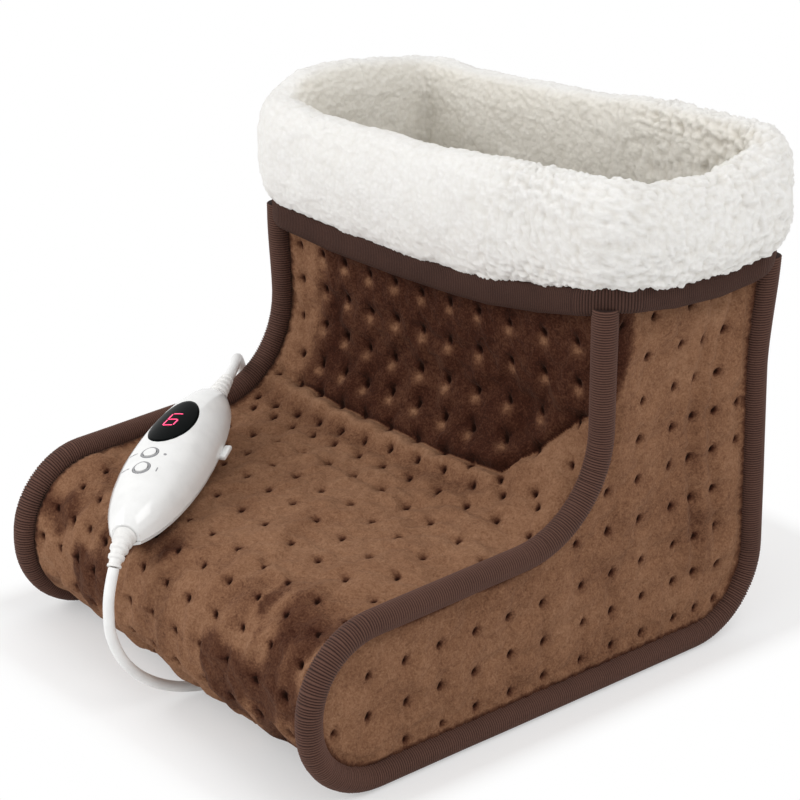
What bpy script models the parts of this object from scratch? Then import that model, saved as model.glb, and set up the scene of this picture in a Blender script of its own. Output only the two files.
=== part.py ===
"""Electric foot warmer: a large quilted boot for both feet, with a hand control and a mains lead.

Units are metres. The toe points to -Y, the heel to +Y, and the shaft stands up along +Z. The origin
is on the floor, in the middle of the boot's box. A name that ends in _SHARE holds a plain ratio.
"""

import math

import bmesh
import bpy
from mathutils import Matrix, Vector
from mathutils.geometry import delaunay_2d_cdt

# Clearances
GAP = 0.0003
WELD = 0.000001
OVERRUN = 0.004

# Boot seam lines, seen from the side
SEAM_HALF_WIDTH = 0.135
TOE_REACH = 0.1935
SHAFT_DEPTH = 0.1128
HEEL_OUT = 0.0055
TOE_HEIGHT = 0.0846
INSTEP_RISE = 0.0057
INSTEP_RADIUS = 0.0564
HEEL_RADIUS = 0.0433
HEEL_RUN_SHARE = 1.06
NOSE_ROUND_SHARE = 0.49
NOSE_RUN_SHARE = 1.06
HEM_HEIGHT = 0.208
HEM_LEAN_SHARE = 0.05
ARC_STEPS = 8
CONTROL_SEGMENTS = 36

# Cloth and tape
PANEL_THICKNESS = 0.006
PANEL_PROUD = 0.002
LINER_THICKNESS = 0.008
BINDING_RADIUS = 0.007
FOOT_FLAT = 0.0004
HEM_TAPE_WIDTH = 0.013
HEM_TAPE_THICKNESS = 0.009
HEM_CORNER_RADIUS = 0.026
HEM_EDGE_ROUND = 0.0015
CUFF_OVERHANG = 0.0025
CUFF_THICKNESS = 0.027
CUFF_HEIGHT = 0.063
CUFF_OUTER_CORNER = 0.036
CUFF_INNER_CORNER = 0.020
CUFF_ROUND = 0.0095

# Quilting: stitches pull the plush in, and deeper creases run along some of their rows
QUILT_PITCH = 0.024
QUILT_DEPTH = 0.0024
QUILT_MARGIN = 0.009
CREASE_DEPTH = 0.0042
SHIN_ROW_DROP = 0.0425
SIDE_ROW_HEIGHT = 0.0200
SIDE_COLUMN_BACK = 0.0090
BACK_ROW_HEIGHT = 0.0120

# Heating element, from the sole upwards
FOAM_THICKNESS = 0.005
CARRIER_THICKNESS = 0.0012
ELEMENT_ROOM = 0.0034
ELEMENT_MARGIN = 0.014
WIRE_DIAMETER_SHARE = 0.75
WIRE_RUNS = 12
RETURN_SPACE = 0.007
CUTOUT_LENGTH = 0.018
CUTOUT_WIDTH_SHARE = 0.4
CUTOUT_HEIGHT_SHARE = 0.85
SENSOR_LENGTH = 0.010
SENSOR_DIAMETER_SHARE = 0.8
SPLICE_LENGTH = 0.011
SPLICE_DIAMETER_SHARE = 0.9
LEAD_DIAMETER_SHARE = 0.6
LEAD_SPACING_SHARE = 0.9
LEAD_DROP = 0.008

# Cords
CORD_DIAMETER = 0.006
CORD_STEP_SHARE = 1.6
CORD_END_GAP = 0.0008
COIL_RADIUS = 0.034
COIL_RINGS = 3
COIL_LAYERS = 2
COIL_PLACE = (0.026, 0.206)
TIE_WIDTH = 0.010
TIE_THICKNESS = 0.0015

# Inlet at the left heel
INLET_BACK = 0.066
INLET_LENGTH = 0.022
INLET_DEPTH = 0.011
INLET_HEIGHT = 0.012
INLET_BUSH_RADIUS = 0.0035
INLET_TAIL_LENGTH = 0.026
INLET_ROUND = 0.0015
TAIL_ROOT_RADIUS = 0.0048
TAIL_TIP_EXTRA = 0.0008
TAIL_ROOT_INSIDE = 0.003

# Hand control: its own axes are X across, Y towards its upper end, Z out of its face
CONTROL_SIDE = 0.0532
CONTROL_BEHIND_TOE = 0.0520
CONTROL_LIFT = 0.0100
CONTROL_YAW = math.radians(33.7)
CONTROL_PITCH = math.radians(9)
CONTROL_ROLL = math.radians(-3)
CONTROL_HALF_WIDTH = 0.0225
CONTROL_UPPER = 0.083
CONTROL_LOWER = 0.066
CONTROL_CROWN = 0.0225
CONTROL_BASE = 0.0055
CONTROL_WALL = 0.0018
END_CUT = 0.0047
CROWN_FULLNESS_SHARE = 0.8
BASE_FULLNESS_SHARE = 0.6
WINDOW_PLACE = (-0.0038, 0.0246)
WINDOW_HALF = (0.0106, 0.0210)
BUTTON_X = -0.0028
BUTTON_PLACES = (-0.0106, -0.0238)
BUTTON_RADIUS = 0.0035
BUTTON_PROUD = 0.0006
BUTTON_TRAVEL = 0.0008
BUTTON_STEM_RADIUS = 0.0012
RING_WIDTH = 0.0011
BOARD_TOP = 0.009
BOARD_THICKNESS = 0.0014
BOARD_HALF_WIDTH = 0.011
BOARD_UPPER = 0.050
BOARD_LOWER = 0.042
STUD_RADIUS = 0.0020
STUD_INSET = 0.0035
SCREW_SIDE = 0.0065
SCREW_BACK = 0.049
SCREW_RADIUS = 0.0011
SCREW_HEAD_RADIUS = 0.0019
SCREW_HEAD_HEIGHT = 0.0012
SCREW_BITE = 0.007
BOSS_RADIUS = 0.0030
DISPLAY_HALF = (0.006, 0.0095)
DISPLAY_HEIGHT = 0.0075
SWITCH_HALF = 0.003
SWITCH_HEIGHT = 0.0032
PLUNGER_RADIUS = 0.0014
PLUNGER_HEIGHT = 0.0012
POWER_SWITCH_PLACE = (-0.0080, 0.003)
POWER_SWITCH_HALF = (0.0022, 0.005)
POWER_SWITCH_HEIGHT = 0.0060
CAPACITOR_PLACE = (0.0078, 0.002)
CAPACITOR_HALF = (0.0024, 0.0065)
CAPACITOR_HEIGHT = 0.0064
FUSE_BACK = 0.036
FUSE_RADIUS = 0.0022
FUSE_LENGTH = 0.011
RELIEF_HEIGHT = 0.0027
RELIEF_NECK_RADIUS = 0.0036
RELIEF_ROOT_RADIUS = 0.0062
RELIEF_LENGTH = 0.020
RELIEF_INSIDE = 0.006
RELIEF_RIBS = 4
RELIEF_BEND = math.radians(42)
RIB_DEPTH = 0.0008
RIB_SHARES = ((0.8, 0), (0.65, 1), (0.25, 1), (0.1, 0))
LUG_FORWARD = 0.030
LUG_REACH = 0.0022
LUG_HALF_LENGTH = 0.006
LUG_THICKNESS = 0.0030

# Plug
PLUG_PLACE = (-0.040, 0.246)
PLUG_TURN = math.radians(90)
PLUG_WIDTH = 0.035
PLUG_LENGTH = 0.036
PLUG_HEIGHT = 0.0137
PLUG_OUTLINE_SHARES = ((0.26, 0), (0.5, 0.30), (0.5, 0.62), (0.40, 1))
PLUG_ROUND = 0.003
PIN_SPACING = 0.019
PIN_RADIUS = 0.002
PIN_LENGTH = 0.019
PIN_INSIDE = 0.006
PIN_TIP_SHARE = 0.6
PLUG_TAIL_LENGTH = 0.022

# Places worked out from the sizes above
SEAM_Z = BINDING_RADIUS - FOOT_FLAT
TAPE_BACK = GAP + HEM_TAPE_THICKNESS + CUFF_OVERHANG
BOOT_DEPTH = BINDING_RADIUS + TOE_REACH + SHAFT_DEPTH + TAPE_BACK
FRONT_Y = BINDING_RADIUS - BOOT_DEPTH / 2
SHIN_Y = FRONT_Y + TOE_REACH
BACK_Y = SHIN_Y + SHAFT_DEPTH
HEEL_Y = BACK_Y + HEEL_OUT
NOSE_RADIUS = TOE_HEIGHT * NOSE_ROUND_SHARE
INSTEP_HEIGHT = TOE_HEIGHT + INSTEP_RISE
STRIP_HALF_WIDTH = SEAM_HALF_WIDTH - BINDING_RADIUS - GAP
SIDE_INNER = SEAM_HALF_WIDTH - BINDING_RADIUS
SIDE_OUTER = SEAM_HALF_WIDTH + PANEL_PROUD
LINER_INSET = PANEL_THICKNESS + GAP
LINER_SIDE_OUTER = STRIP_HALF_WIDTH
LINER_SIDE_INNER = LINER_SIDE_OUTER - LINER_THICKNESS
INSIDE_HALF_WIDTH = LINER_SIDE_INNER - GAP
SOLE_FRONT = FRONT_Y + NOSE_RADIUS * NOSE_RUN_SHARE
SOLE_BACK = HEEL_Y - HEEL_RADIUS * HEEL_RUN_SHARE
FOAM_Z = SEAM_Z + PANEL_THICKNESS + GAP
CARRIER_Z = FOAM_Z + FOAM_THICKNESS + GAP
ELEMENT_Z = CARRIER_Z + CARRIER_THICKNESS + GAP
LINER_SOLE_Z = ELEMENT_Z + ELEMENT_ROOM + GAP
CORD_RADIUS = CORD_DIAMETER / 2
COIL_OUTER = COIL_RADIUS + COIL_RINGS * CORD_RADIUS
COIL_INNER = COIL_RADIUS - COIL_RINGS * CORD_RADIUS
COIL_HEIGHT = COIL_LAYERS * CORD_DIAMETER
COIL_Z = TIE_THICKNESS + 2 * GAP
TAIL_TIP_RADIUS = CORD_RADIUS + TAIL_TIP_EXTRA
INLET_Y = BACK_Y - INLET_BACK
INLET_Z = ELEMENT_Z + ELEMENT_ROOM / 2
INLET_X = -(SIDE_OUTER + GAP + INLET_DEPTH / 2)
WIRE_RADIUS = ELEMENT_ROOM * WIRE_DIAMETER_SHARE / 2
SPLICE_RADIUS = ELEMENT_ROOM * SPLICE_DIAMETER_SHARE / 2
LEAD_RADIUS = ELEMENT_ROOM * LEAD_DIAMETER_SHARE / 2
LEAD_OFFSET = ELEMENT_ROOM * LEAD_SPACING_SHARE / 2
SPLICE_X = -INSIDE_HALF_WIDTH + ELEMENT_MARGIN
FIRST_RUN_Y = INLET_Y + LEAD_OFFSET
LAST_RUN_Y = SOLE_FRONT + ELEMENT_MARGIN
RUN_SPACING = (FIRST_RUN_Y - LAST_RUN_Y) / (WIRE_RUNS - 1)
BUTTON_HOLE_RADIUS = BUTTON_RADIUS + GAP
RING_RADIUS = BUTTON_HOLE_RADIUS + RING_WIDTH
BOARD_FOOT = BOARD_TOP - BOARD_THICKNESS
BOARD_DECK = BOARD_TOP + GAP
PLUNGER_TOP = BOARD_DECK + SWITCH_HEIGHT + PLUNGER_HEIGHT
UPPER_END = CONTROL_UPPER - END_CUT
LOWER_END = CONTROL_LOWER - END_CUT

# Side view: a flat drawing's right and up are the boot's +Y and +Z
SIDE_VIEW = Matrix(((0, 0, 1, 0), (1, 0, 0, 0), (0, 1, 0, 0), (0, 0, 0, 1)))

# Routes of the cords, chosen by hand; the ends are added where they meet other pieces
BOOT_LEAD_ROUTE = (
    (-0.1462, 0.1405, 0.0190),
    (-0.1487, 0.1515, 0.0122),
    (-0.1500, 0.1620, 0.0056),
    (-0.1505, 0.1750, 0.0032),
    (-0.1505, 0.2040, 0.0032),
    (-0.1428, 0.2226, 0.0032),
    (-0.1245, 0.2302, 0.0032),
    (-0.1062, 0.2226, 0.0032),
    (-0.0983, 0.2040, 0.0034),
    (-0.1062, 0.1854, 0.0046),
    (-0.1245, 0.1780, 0.0072),
    (-0.1500, 0.1780, 0.0098),
    (-0.1680, 0.1705, 0.0080),
    (-0.1755, 0.1530, 0.0050),
    (-0.1755, 0.1300, 0.0032),
    (-0.1745, 0.1050, 0.0032),
    (-0.1715, 0.0800, 0.0050),
    (-0.1680, 0.0580, 0.0180),
    (-0.1655, 0.0440, 0.0400),
    (-0.1630, 0.0360, 0.0660),
    (-0.1590, 0.0280, 0.0880),
    (-0.1525, 0.0200, 0.1030),
    (-0.1440, 0.0120, 0.1118),
    (-0.1350, 0.0040, 0.1152),
    (-0.1245, -0.0045, 0.1180),
)
MAINS_LEAD_ROUTE = (
    (-0.0052, -0.1758, 0.0714),
    (-0.0044, -0.1770, 0.0627),
    (-0.0040, -0.1765, 0.0500),
    (-0.0037, -0.1705, 0.0340),
    (-0.0033, -0.1595, 0.0200),
    (-0.0018, -0.1440, 0.0095),
    (0.0010, -0.1270, 0.0044),
    (0.0035, -0.1080, 0.0032),
    (0.0080, -0.0700, 0.0032),
    (0.0170, -0.0200, 0.0032),
    (0.0300, 0.0350, 0.0032),
    (0.0450, 0.0900, 0.0032),
    (0.0585, 0.1350, 0.0032),
    (0.0648, 0.1600, 0.0040),
)

MATERIALS = {
    "plush": ((0.24, 0.12, 0.07), 0.9, 0.0),
    "sole_cloth": ((0.05, 0.03, 0.02), 0.85, 0.0),
    "tape": ((0.05, 0.022, 0.018), 0.7, 0.0),
    "fleece": ((0.86, 0.84, 0.78), 0.95, 0.0),
    "foam": ((0.75, 0.72, 0.62), 0.9, 0.0),
    "carrier": ((0.80, 0.80, 0.76), 0.9, 0.0),
    "wire_red": ((0.55, 0.08, 0.06), 0.5, 0.0),
    "sleeve": ((0.85, 0.80, 0.62), 0.5, 0.0),
    "white_plastic": ((0.88, 0.88, 0.87), 0.25, 0.0),
    "white_cord": ((0.87, 0.87, 0.86), 0.4, 0.0),
    "dark_window": ((0.01, 0.012, 0.014), 0.08, 0.0),
    "grey_ring": ((0.20, 0.22, 0.23), 0.4, 0.0),
    "board": ((0.05, 0.22, 0.10), 0.5, 0.0),
    "black_part": ((0.03, 0.03, 0.03), 0.5, 0.0),
    "yellow_part": ((0.80, 0.62, 0.10), 0.5, 0.0),
    "glass_fuse": ((0.70, 0.75, 0.75), 0.15, 0.0),
    "steel": ((0.62, 0.62, 0.60), 0.3, 1.0),
    "brass": ((0.75, 0.60, 0.30), 0.3, 1.0),
}


def clear_scene():
    """Remove every object, so that the script can be run again."""
    for old in list(bpy.data.objects):
        bpy.data.objects.remove(old, do_unlink=True)
    for old in list(bpy.data.collections):
        bpy.data.collections.remove(old)


def new_collection(name):
    """Make a collection in the scene and return it."""
    collection = bpy.data.collections.new(name)
    bpy.context.scene.collection.children.link(collection)
    return collection


def material_named(name):
    """Return the material of that name, made on first use."""
    material = bpy.data.materials.get(name)
    if material is None:
        color, roughness, metallic = MATERIALS[name]
        material = bpy.data.materials.new(name)
        material.use_nodes = True
        shader = material.node_tree.nodes["Principled BSDF"]
        shader.inputs["Base Color"].default_value = (*color, 1)
        shader.inputs["Roughness"].default_value = roughness
        shader.inputs["Metallic"].default_value = metallic
    return material


def add_object(name, data, finish=None, collection=None, matrix=None):
    """Link an object that holds data, with its material and its place."""
    item = bpy.data.objects.new(name, data)
    (collection or PARTS).objects.link(item)
    if finish:
        data.materials.clear()
        data.materials.append(material_named(finish))
    if matrix is not None:
        item.matrix_world = matrix
    return item


def mesh_object(name, form, finish=None, collection=None, matrix=None):
    """Turn a bmesh into an object with outward faces."""
    bmesh.ops.recalc_face_normals(form, faces=form.faces)
    mesh = bpy.data.meshes.new(name)
    form.to_mesh(mesh)
    form.free()
    return add_object(name, mesh, finish, collection, matrix)


def as_mesh(item, finish=None):
    """Replace an object by the closed mesh that its curve or its modifiers make."""
    bpy.context.view_layer.update()
    graph = bpy.context.evaluated_depsgraph_get()
    mesh = bpy.data.meshes.new_from_object(item.evaluated_get(graph))
    form = bmesh.new()
    form.from_mesh(mesh)
    bmesh.ops.remove_doubles(form, verts=form.verts, dist=WELD)
    bmesh.ops.recalc_face_normals(form, faces=form.faces)
    form.to_mesh(mesh)
    form.free()
    name = item.name
    matrix = item.matrix_world.copy()
    collection = item.users_collection[0]
    bpy.data.objects.remove(item, do_unlink=True)
    return add_object(name, mesh, finish, collection, matrix)


def hide_cutter(item):
    """Mark an object as a cutter that only its Boolean sees."""
    item.hide_render = True
    item.display_type = "WIRE"
    return item


def boolean(item, cutter, operation="DIFFERENCE"):
    """Cut, join or intersect an object with another."""
    step = item.modifiers.new(operation.lower(), "BOOLEAN")
    step.operation = operation
    step.solver = "EXACT"
    step.object = hide_cutter(cutter)
    return item


def finished(item, *cutters):
    """Apply an object's modifiers and drop the shapes that they used."""
    finish = item.data.materials[0].name if item.data.materials else None
    result = as_mesh(item, finish)
    for cutter in cutters:
        bpy.data.objects.remove(cutter, do_unlink=True)
    return result


def box(name, low, high, finish=None, collection=None, matrix=None):
    """Make a box between two corners."""
    form = bmesh.new()
    bmesh.ops.create_cube(form, size=1)
    for vert in form.verts:
        vert.co = Vector(
            low[axis] + (high[axis] - low[axis]) * (vert.co[axis] + 1 / 2) for axis in range(3)
        )
    return mesh_object(name, form, finish, collection, matrix)


def cylinder(name, radius, low, high, finish, matrix, sides=32, collection=None):
    """Make a cylinder about its own Z axis, between two heights."""
    form = bmesh.new()
    bmesh.ops.create_cone(form, cap_ends=True, segments=sides, radius1=radius, radius2=radius, depth=high - low)
    bmesh.ops.translate(form, verts=form.verts, vec=(0, 0, (low + high) / 2))
    return mesh_object(name, form, finish, collection, matrix)


def oval(name, place, half, matrix):
    """Make an upright cutter with an oval plan through the hand control's face."""
    form = bmesh.new()
    bmesh.ops.create_cone(form, cap_ends=True, segments=48, radius1=1, radius2=1, depth=2 * CONTROL_CROWN)
    for vert in form.verts:
        vert.co.x = place[0] + half[0] * vert.co.x
        vert.co.y = place[1] + half[1] * vert.co.y
    bmesh.ops.translate(form, verts=form.verts, vec=(0, 0, CONTROL_CROWN + OVERRUN))
    return mesh_object(name, form, None, CUTTERS, matrix)


def round_edges(item, width, segments=3, angle=math.radians(30)):
    """Round an object's sharp edges."""
    bevel = item.modifiers.new("rounding", "BEVEL")
    bevel.width = width
    bevel.segments = segments
    bevel.limit_method = "ANGLE"
    bevel.angle_limit = angle
    return item


def turned(name, profile, finish, matrix, steps=20, collection=None, closed=False):
    """Turn a profile of (radius, height) points about the Z axis."""
    form = bmesh.new()
    verts = [form.verts.new((radius, 0, height)) for radius, height in profile]
    for upper, lower in zip(verts, verts[1:]):
        form.edges.new((upper, lower))
    if closed:
        form.edges.new((verts[-1], verts[0]))
    mesh = bpy.data.meshes.new(name)
    form.to_mesh(mesh)
    form.free()
    item = add_object(name, mesh, finish, collection, matrix)
    screw = item.modifiers.new("turning", "SCREW")
    screw.steps = steps
    screw.render_steps = steps
    screw.use_merge_vertices = True
    screw.merge_threshold = WELD
    return as_mesh(item, finish)


def along(start, direction):
    """Place whose Z axis leaves a point in a direction."""
    return Matrix.Translation(start) @ Vector(direction).to_track_quat("Z", "Y").to_matrix().to_4x4()


def tube(name, points, radius, finish, resolution=2, matrix=None):
    """Make a round tube with closed ends through the points."""
    curve = bpy.data.curves.new(name, "CURVE")
    curve.dimensions = "3D"
    curve.bevel_depth = radius
    curve.bevel_resolution = resolution
    curve.use_fill_caps = True
    spline = curve.splines.new("POLY")
    spline.points.add(len(points) - 1)
    for vertex, point in zip(spline.points, points):
        vertex.co = (*point, 1)
    return add_object(name, curve, finish, None, matrix)


def smooth_route(points, step):
    """Points at even spacing on a smooth curve through a route, whose two end pieces stay straight."""
    route = [Vector(point) for point in points]
    fine = []
    pieces = 2 * ARC_STEPS
    for before, start, end, after in zip(route, route[1:], route[2:], route[3:]):
        for count in range(pieces):
            t = count / pieces
            bend = (2 * before - 5 * start + 4 * end - after) * t**2
            twist = (3 * start - before - 3 * end + after) * t**3
            fine.append((2 * start + (end - before) * t + bend + twist) / 2)
    fine.append(route[-2])
    lengths = [0]
    for start, end in zip(fine, fine[1:]):
        lengths.append(lengths[-1] + (end - start).length)
    count = max(2, round(lengths[-1] / step))
    result = [route[0]]
    index = 0
    for number in range(count):
        wanted = lengths[-1] * number / count
        while lengths[index + 1] < wanted:
            index += 1
        share = (wanted - lengths[index]) / (lengths[index + 1] - lengths[index])
        result.append(fine[index].lerp(fine[index + 1], share))
    return result + [fine[-1], route[-1]]


def rounded(corners):
    """Points of an open outline from its corners, each (across, up, radius)."""
    points = []
    for index, (across, up, radius) in enumerate(corners):
        here = Vector((across, up))
        if radius == 0:
            points.append(here)
            continue
        back = (Vector(corners[index - 1][:2]) - here).normalized()
        ahead = (Vector(corners[index + 1][:2]) - here).normalized()
        half = back.angle(ahead) / 2
        centre = here + (back + ahead).normalized() * radius / math.sin(half)
        spoke = here + back * radius / math.tan(half) - centre
        turn = math.copysign(math.pi - 2 * half, ahead.x * back.y - ahead.y * back.x)
        for count in range(ARC_STEPS + 1):
            points.append(centre + Matrix.Rotation(turn * count / ARC_STEPS, 2) @ spoke)
    return points


def inset_line(points, distance):
    """Move an outline towards its left by a distance."""
    sides = []
    for start, end in zip(points, points[1:]):
        run = (end - start).normalized()
        sides.append(Vector((-run.y, run.x)))
    result = []
    for index, point in enumerate(points):
        near = sides[max(0, index - 1)]
        middle = (near + sides[min(index, len(sides) - 1)]).normalized()
        result.append(point + middle * distance / middle.dot(near))
    return result


def hem_height(x):
    """Height of the hem tape's middle at a place across the boot."""
    return HEM_HEIGHT + HEM_LEAN_SHARE * x


def front_corners(top):
    """Corners of the seam line from the shin's top, over the instep and round the nose."""
    return [
        (SHIN_Y, top, 0),
        (SHIN_Y, SEAM_Z + INSTEP_HEIGHT, INSTEP_RADIUS),
        (FRONT_Y, SEAM_Z + TOE_HEIGHT, NOSE_RADIUS),
        (FRONT_Y, SEAM_Z, NOSE_RADIUS),
    ]


def back_corners(top, foot):
    """Corners of the seam line from the heel's round up the back, upright beside the hem tape."""
    corners = [(HEEL_Y, SEAM_Z, HEEL_RADIUS), (BACK_Y, foot, 0)]
    return corners + [(BACK_Y, top, 0)] if top > foot else corners


def front_line(top):
    """Seam line of the front strip, down to where the sole panel starts."""
    return rounded(front_corners(top) + [(SOLE_FRONT, SEAM_Z, 0)])


def back_line(top, foot):
    """Seam line of the back strip, up from where the sole panel ends."""
    return rounded([(SOLE_BACK, SEAM_Z, 0)] + back_corners(top, foot))


def tape_foot(x):
    """Height just under the hem tape at a place across the boot."""
    lowest = min(hem_height(x - BINDING_RADIUS), hem_height(x + BINDING_RADIUS))
    return lowest - HEM_TAPE_WIDTH / 2 - GAP


def panel_top(x):
    """Height of the panels' top edge at a place across the boot."""
    return hem_height(x) + HEM_TAPE_WIDTH / 2


def strip(name, line, inset, half_width, thickness, finish):
    """Make a cloth strip whose outer face follows a side-view line and spans the boot's width."""
    form = bmesh.new()
    rows = []
    for x in (-half_width, half_width):
        rows.append([form.verts.new((x, point.x, point.y)) for point in inset_line(line(x), inset)])
    left, right = rows
    for index in range(len(left) - 1):
        form.faces.new((left[index], left[index + 1], right[index + 1], right[index]))
    mesh = bpy.data.meshes.new(name)
    form.to_mesh(mesh)
    form.free()
    item = add_object(name, mesh, finish)
    shell = item.modifiers.new("thickness", "SOLIDIFY")
    shell.thickness = thickness
    shell.offset = -1
    shell.use_even_offset = True
    return item


def edge_distance(point, outline):
    """Distance from a flat point to a closed outline, negative outside it."""
    nearest = None
    crossings = 0
    for start, end in zip(outline, outline[1:] + outline[:1]):
        run = end - start
        share = min(1, max(0, (point - start).dot(run) / run.dot(run)))
        distance = (point - start - run * share).length
        nearest = distance if nearest is None else min(nearest, distance)
        if (start.y > point.y) != (end.y > point.y):
            crossings += start.x + run.x * (point.y - start.y) / run.y > point.x
    return nearest if crossings % 2 else -nearest


def quilt_spots(outline, start, crease_rows=(), crease_columns=()):
    """Stitches, puff middles and crease points inside a flat outline, as (point, depth)."""
    reach = round(2 * BOOT_DEPTH / QUILT_PITCH)
    spots = []
    for row in range(-reach, reach + 1):
        for column in range(-reach, reach + 1):
            stitch = Vector(start) + QUILT_PITCH * Vector((column, row))
            half = QUILT_PITCH / 2
            creased = row in crease_rows or column in crease_columns
            spots.append((stitch, CREASE_DEPTH if creased else QUILT_DEPTH))
            spots.append((stitch + Vector((half, half)), 0))
            if row in crease_rows:
                spots.append((stitch + Vector((half, 0)), CREASE_DEPTH))
            if column in crease_columns:
                spots.append((stitch + Vector((0, half)), CREASE_DEPTH))
    return [(spot, depth) for spot, depth in spots if edge_distance(spot, outline) > QUILT_MARGIN]


def quilted(name, outline, spots, outer_place, inner_points, inner_faces, finish):
    """Make a cloth solid with a quilted outer face.

    outline is the flat outline, outer_place turns a flat point and its depth into a place on the
    boot, inner_points are the inner face's places beside the outline's, and inner_faces their faces.
    """
    form = bmesh.new()
    count = len(outline)
    edges = [(index, (index + 1) % count) for index in range(count)]
    flat = outline + [spot for spot, depth in spots]
    depths = [0] * count + [depth for spot, depth in spots]
    found = delaunay_2d_cdt(flat, edges, [], 1, WELD / 10)
    outer = []
    for point, origins in zip(found[0], found[3]):
        outer.append(form.verts.new(outer_place(point, depths[origins[0]])))
    rim = {origin: vert for vert, origins in zip(outer, found[3]) for origin in origins}
    for face in found[2]:
        form.faces.new([outer[index] for index in face])
    inner = [form.verts.new(point) for point in inner_points]
    for face in inner_faces:
        form.faces.new([inner[index] for index in face])
    for start, end in edges:
        form.faces.new((rim[start], rim[end], inner[end], inner[start]))
    bmesh.ops.recalc_face_normals(form, faces=form.faces)
    return mesh_object(name, form, finish)


def quilted_strip(name, line, from_top, half_width, row_start, crease_rows, finish):
    """Make a quilted cloth strip; flat places are across the boot and along the line from its foot."""
    rows = {}
    for x in (-half_width, half_width):
        outer = line(x)
        inner = inset_line(outer, PANEL_THICKNESS)
        if from_top:
            outer, inner = outer[::-1], inner[::-1]
        runs = [0]
        for start, end in zip(outer, outer[1:]):
            runs.append(runs[-1] + (end - start).length)
        rows[x] = (runs, outer, inner)
    left, right = rows[-half_width], rows[half_width]
    outline = [Vector((half_width, run)) for run in right[0]]
    outline += [Vector((-half_width, run)) for run in left[0][::-1]]
    inner_points = [(half_width, point.x, point.y) for point in right[2]]
    inner_points += [(-half_width, point.x, point.y) for point in left[2][::-1]]
    last = len(outline) - 1
    inner_faces = [(index, index + 1, last - index - 1, last - index) for index in range(len(left[0]) - 1)]

    def place(flat, depth):
        """Place on the boot of a flat point at a depth."""
        runs, outer, inner = right if abs(flat.x + half_width) > WELD else left
        index = 0
        while index < len(runs) - 2 and runs[index + 1] < flat.y:
            index += 1
        share = (flat.y - runs[index]) / (runs[index + 1] - runs[index])
        skin = outer[index].lerp(outer[index + 1], share)
        under = inner[index].lerp(inner[index + 1], share)
        here = skin.lerp(under, depth / PANEL_THICKNESS)
        return (flat.x, here.x, here.y)

    start = (QUILT_PITCH / 2, row_start(right[0][-1]))
    spots = quilt_spots(outline, start, crease_rows)
    return quilted(name, outline, spots, place, inner_points, inner_faces, finish)


def quilted_side(name, side, outline, finish):
    """Make a quilted side panel; flat places are the boot's Y and Z."""
    start = (BACK_Y - SIDE_COLUMN_BACK, SEAM_Z + SIDE_ROW_HEIGHT)
    spots = quilt_spots(outline, start, crease_columns=(-1, -2))
    inner_points = [(side * SIDE_INNER, point.x, point.y) for point in outline]
    return quilted(name, outline, spots, lambda flat, depth: (side * (SIDE_OUTER - depth), flat.x, flat.y),
                   inner_points, [tuple(range(len(outline)))], finish)


def plate(name, outline, x_low, x_high, finish):
    """Make a flat upright plate from a side-view outline."""
    curve = bpy.data.curves.new(name, "CURVE")
    curve.dimensions = "2D"
    curve.fill_mode = "BOTH"
    curve.extrude = (x_high - x_low) / 2
    spline = curve.splines.new("POLY")
    spline.points.add(len(outline) - 1)
    for vertex, point in zip(spline.points, outline):
        vertex.co = (point.x, point.y, 0, 1)
    spline.use_cyclic_u = True
    middle = Matrix.Translation(((x_low + x_high) / 2, 0, 0))
    return as_mesh(add_object(name, curve, None, None, middle @ SIDE_VIEW), finish)


def side_outline(inset, top):
    """Closed side-view outline of a side plate, kept inside the seam line."""
    foot = top - HEM_TAPE_WIDTH
    return inset_line(rounded(front_corners(top) + back_corners(top, foot)), inset)


def corner_loop(low, high, radius):
    """Plan outline of a box with rounded corners, counter-clockwise."""
    points = []
    centres = (
        (high[0] - radius, low[1] + radius, -math.pi / 2),
        (high[0] - radius, high[1] - radius, 0),
        (low[0] + radius, high[1] - radius, math.pi / 2),
        (low[0] + radius, low[1] + radius, math.pi),
    )
    for x, y, start in centres:
        for count in range(ARC_STEPS + 1):
            angle = start + math.pi / 2 * count / ARC_STEPS
            points.append((x + radius * math.cos(angle), y + radius * math.sin(angle)))
    return points


def hem_ring(name, outer, inner, low, high, finish):
    """Loft a ring between two plan outlines; its heights are counted from the leaning hem."""
    form = bmesh.new()
    loops = []
    for outline, offset in ((outer, low), (outer, high), (inner, high), (inner, low)):
        loops.append([form.verts.new((x, y, hem_height(x) + offset)) for x, y in outline])
    for first, second in zip(loops, loops[1:] + loops[:1]):
        for index in range(len(outer)):
            after = (index + 1) % len(outer)
            form.faces.new((first[index], first[after], second[after], second[index]))
    return mesh_object(name, form, finish)


def make_panels():
    """Quilted outer panels: two sides, the front strip, the sole and the back strip."""
    quilted_strip("front_panel", lambda x: front_line(panel_top(x)), True, STRIP_HALF_WIDTH,
                  lambda top: top - SHIN_ROW_DROP, (-3,), "plush")
    quilted_strip("back_panel", lambda x: back_line(panel_top(x), hem_height(x) - HEM_TAPE_WIDTH / 2 - GAP),
                  False, STRIP_HALF_WIDTH, lambda top: BACK_ROW_HEIGHT, (), "plush")
    box("sole_panel", (-STRIP_HALF_WIDTH, SOLE_FRONT + GAP, SEAM_Z),
        (STRIP_HALF_WIDTH, SOLE_BACK - GAP, SEAM_Z + PANEL_THICKNESS), "sole_cloth")
    inset = BINDING_RADIUS + GAP
    for name, side in (("side_panel_left", -1), ("side_panel_right", 1)):
        lower = min(side * SIDE_INNER, side * SIDE_OUTER)
        panel = quilted_side(name, side, side_outline(inset, panel_top(lower)), "plush")
        if side < 0:
            cut_inlet_hole(panel)


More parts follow.
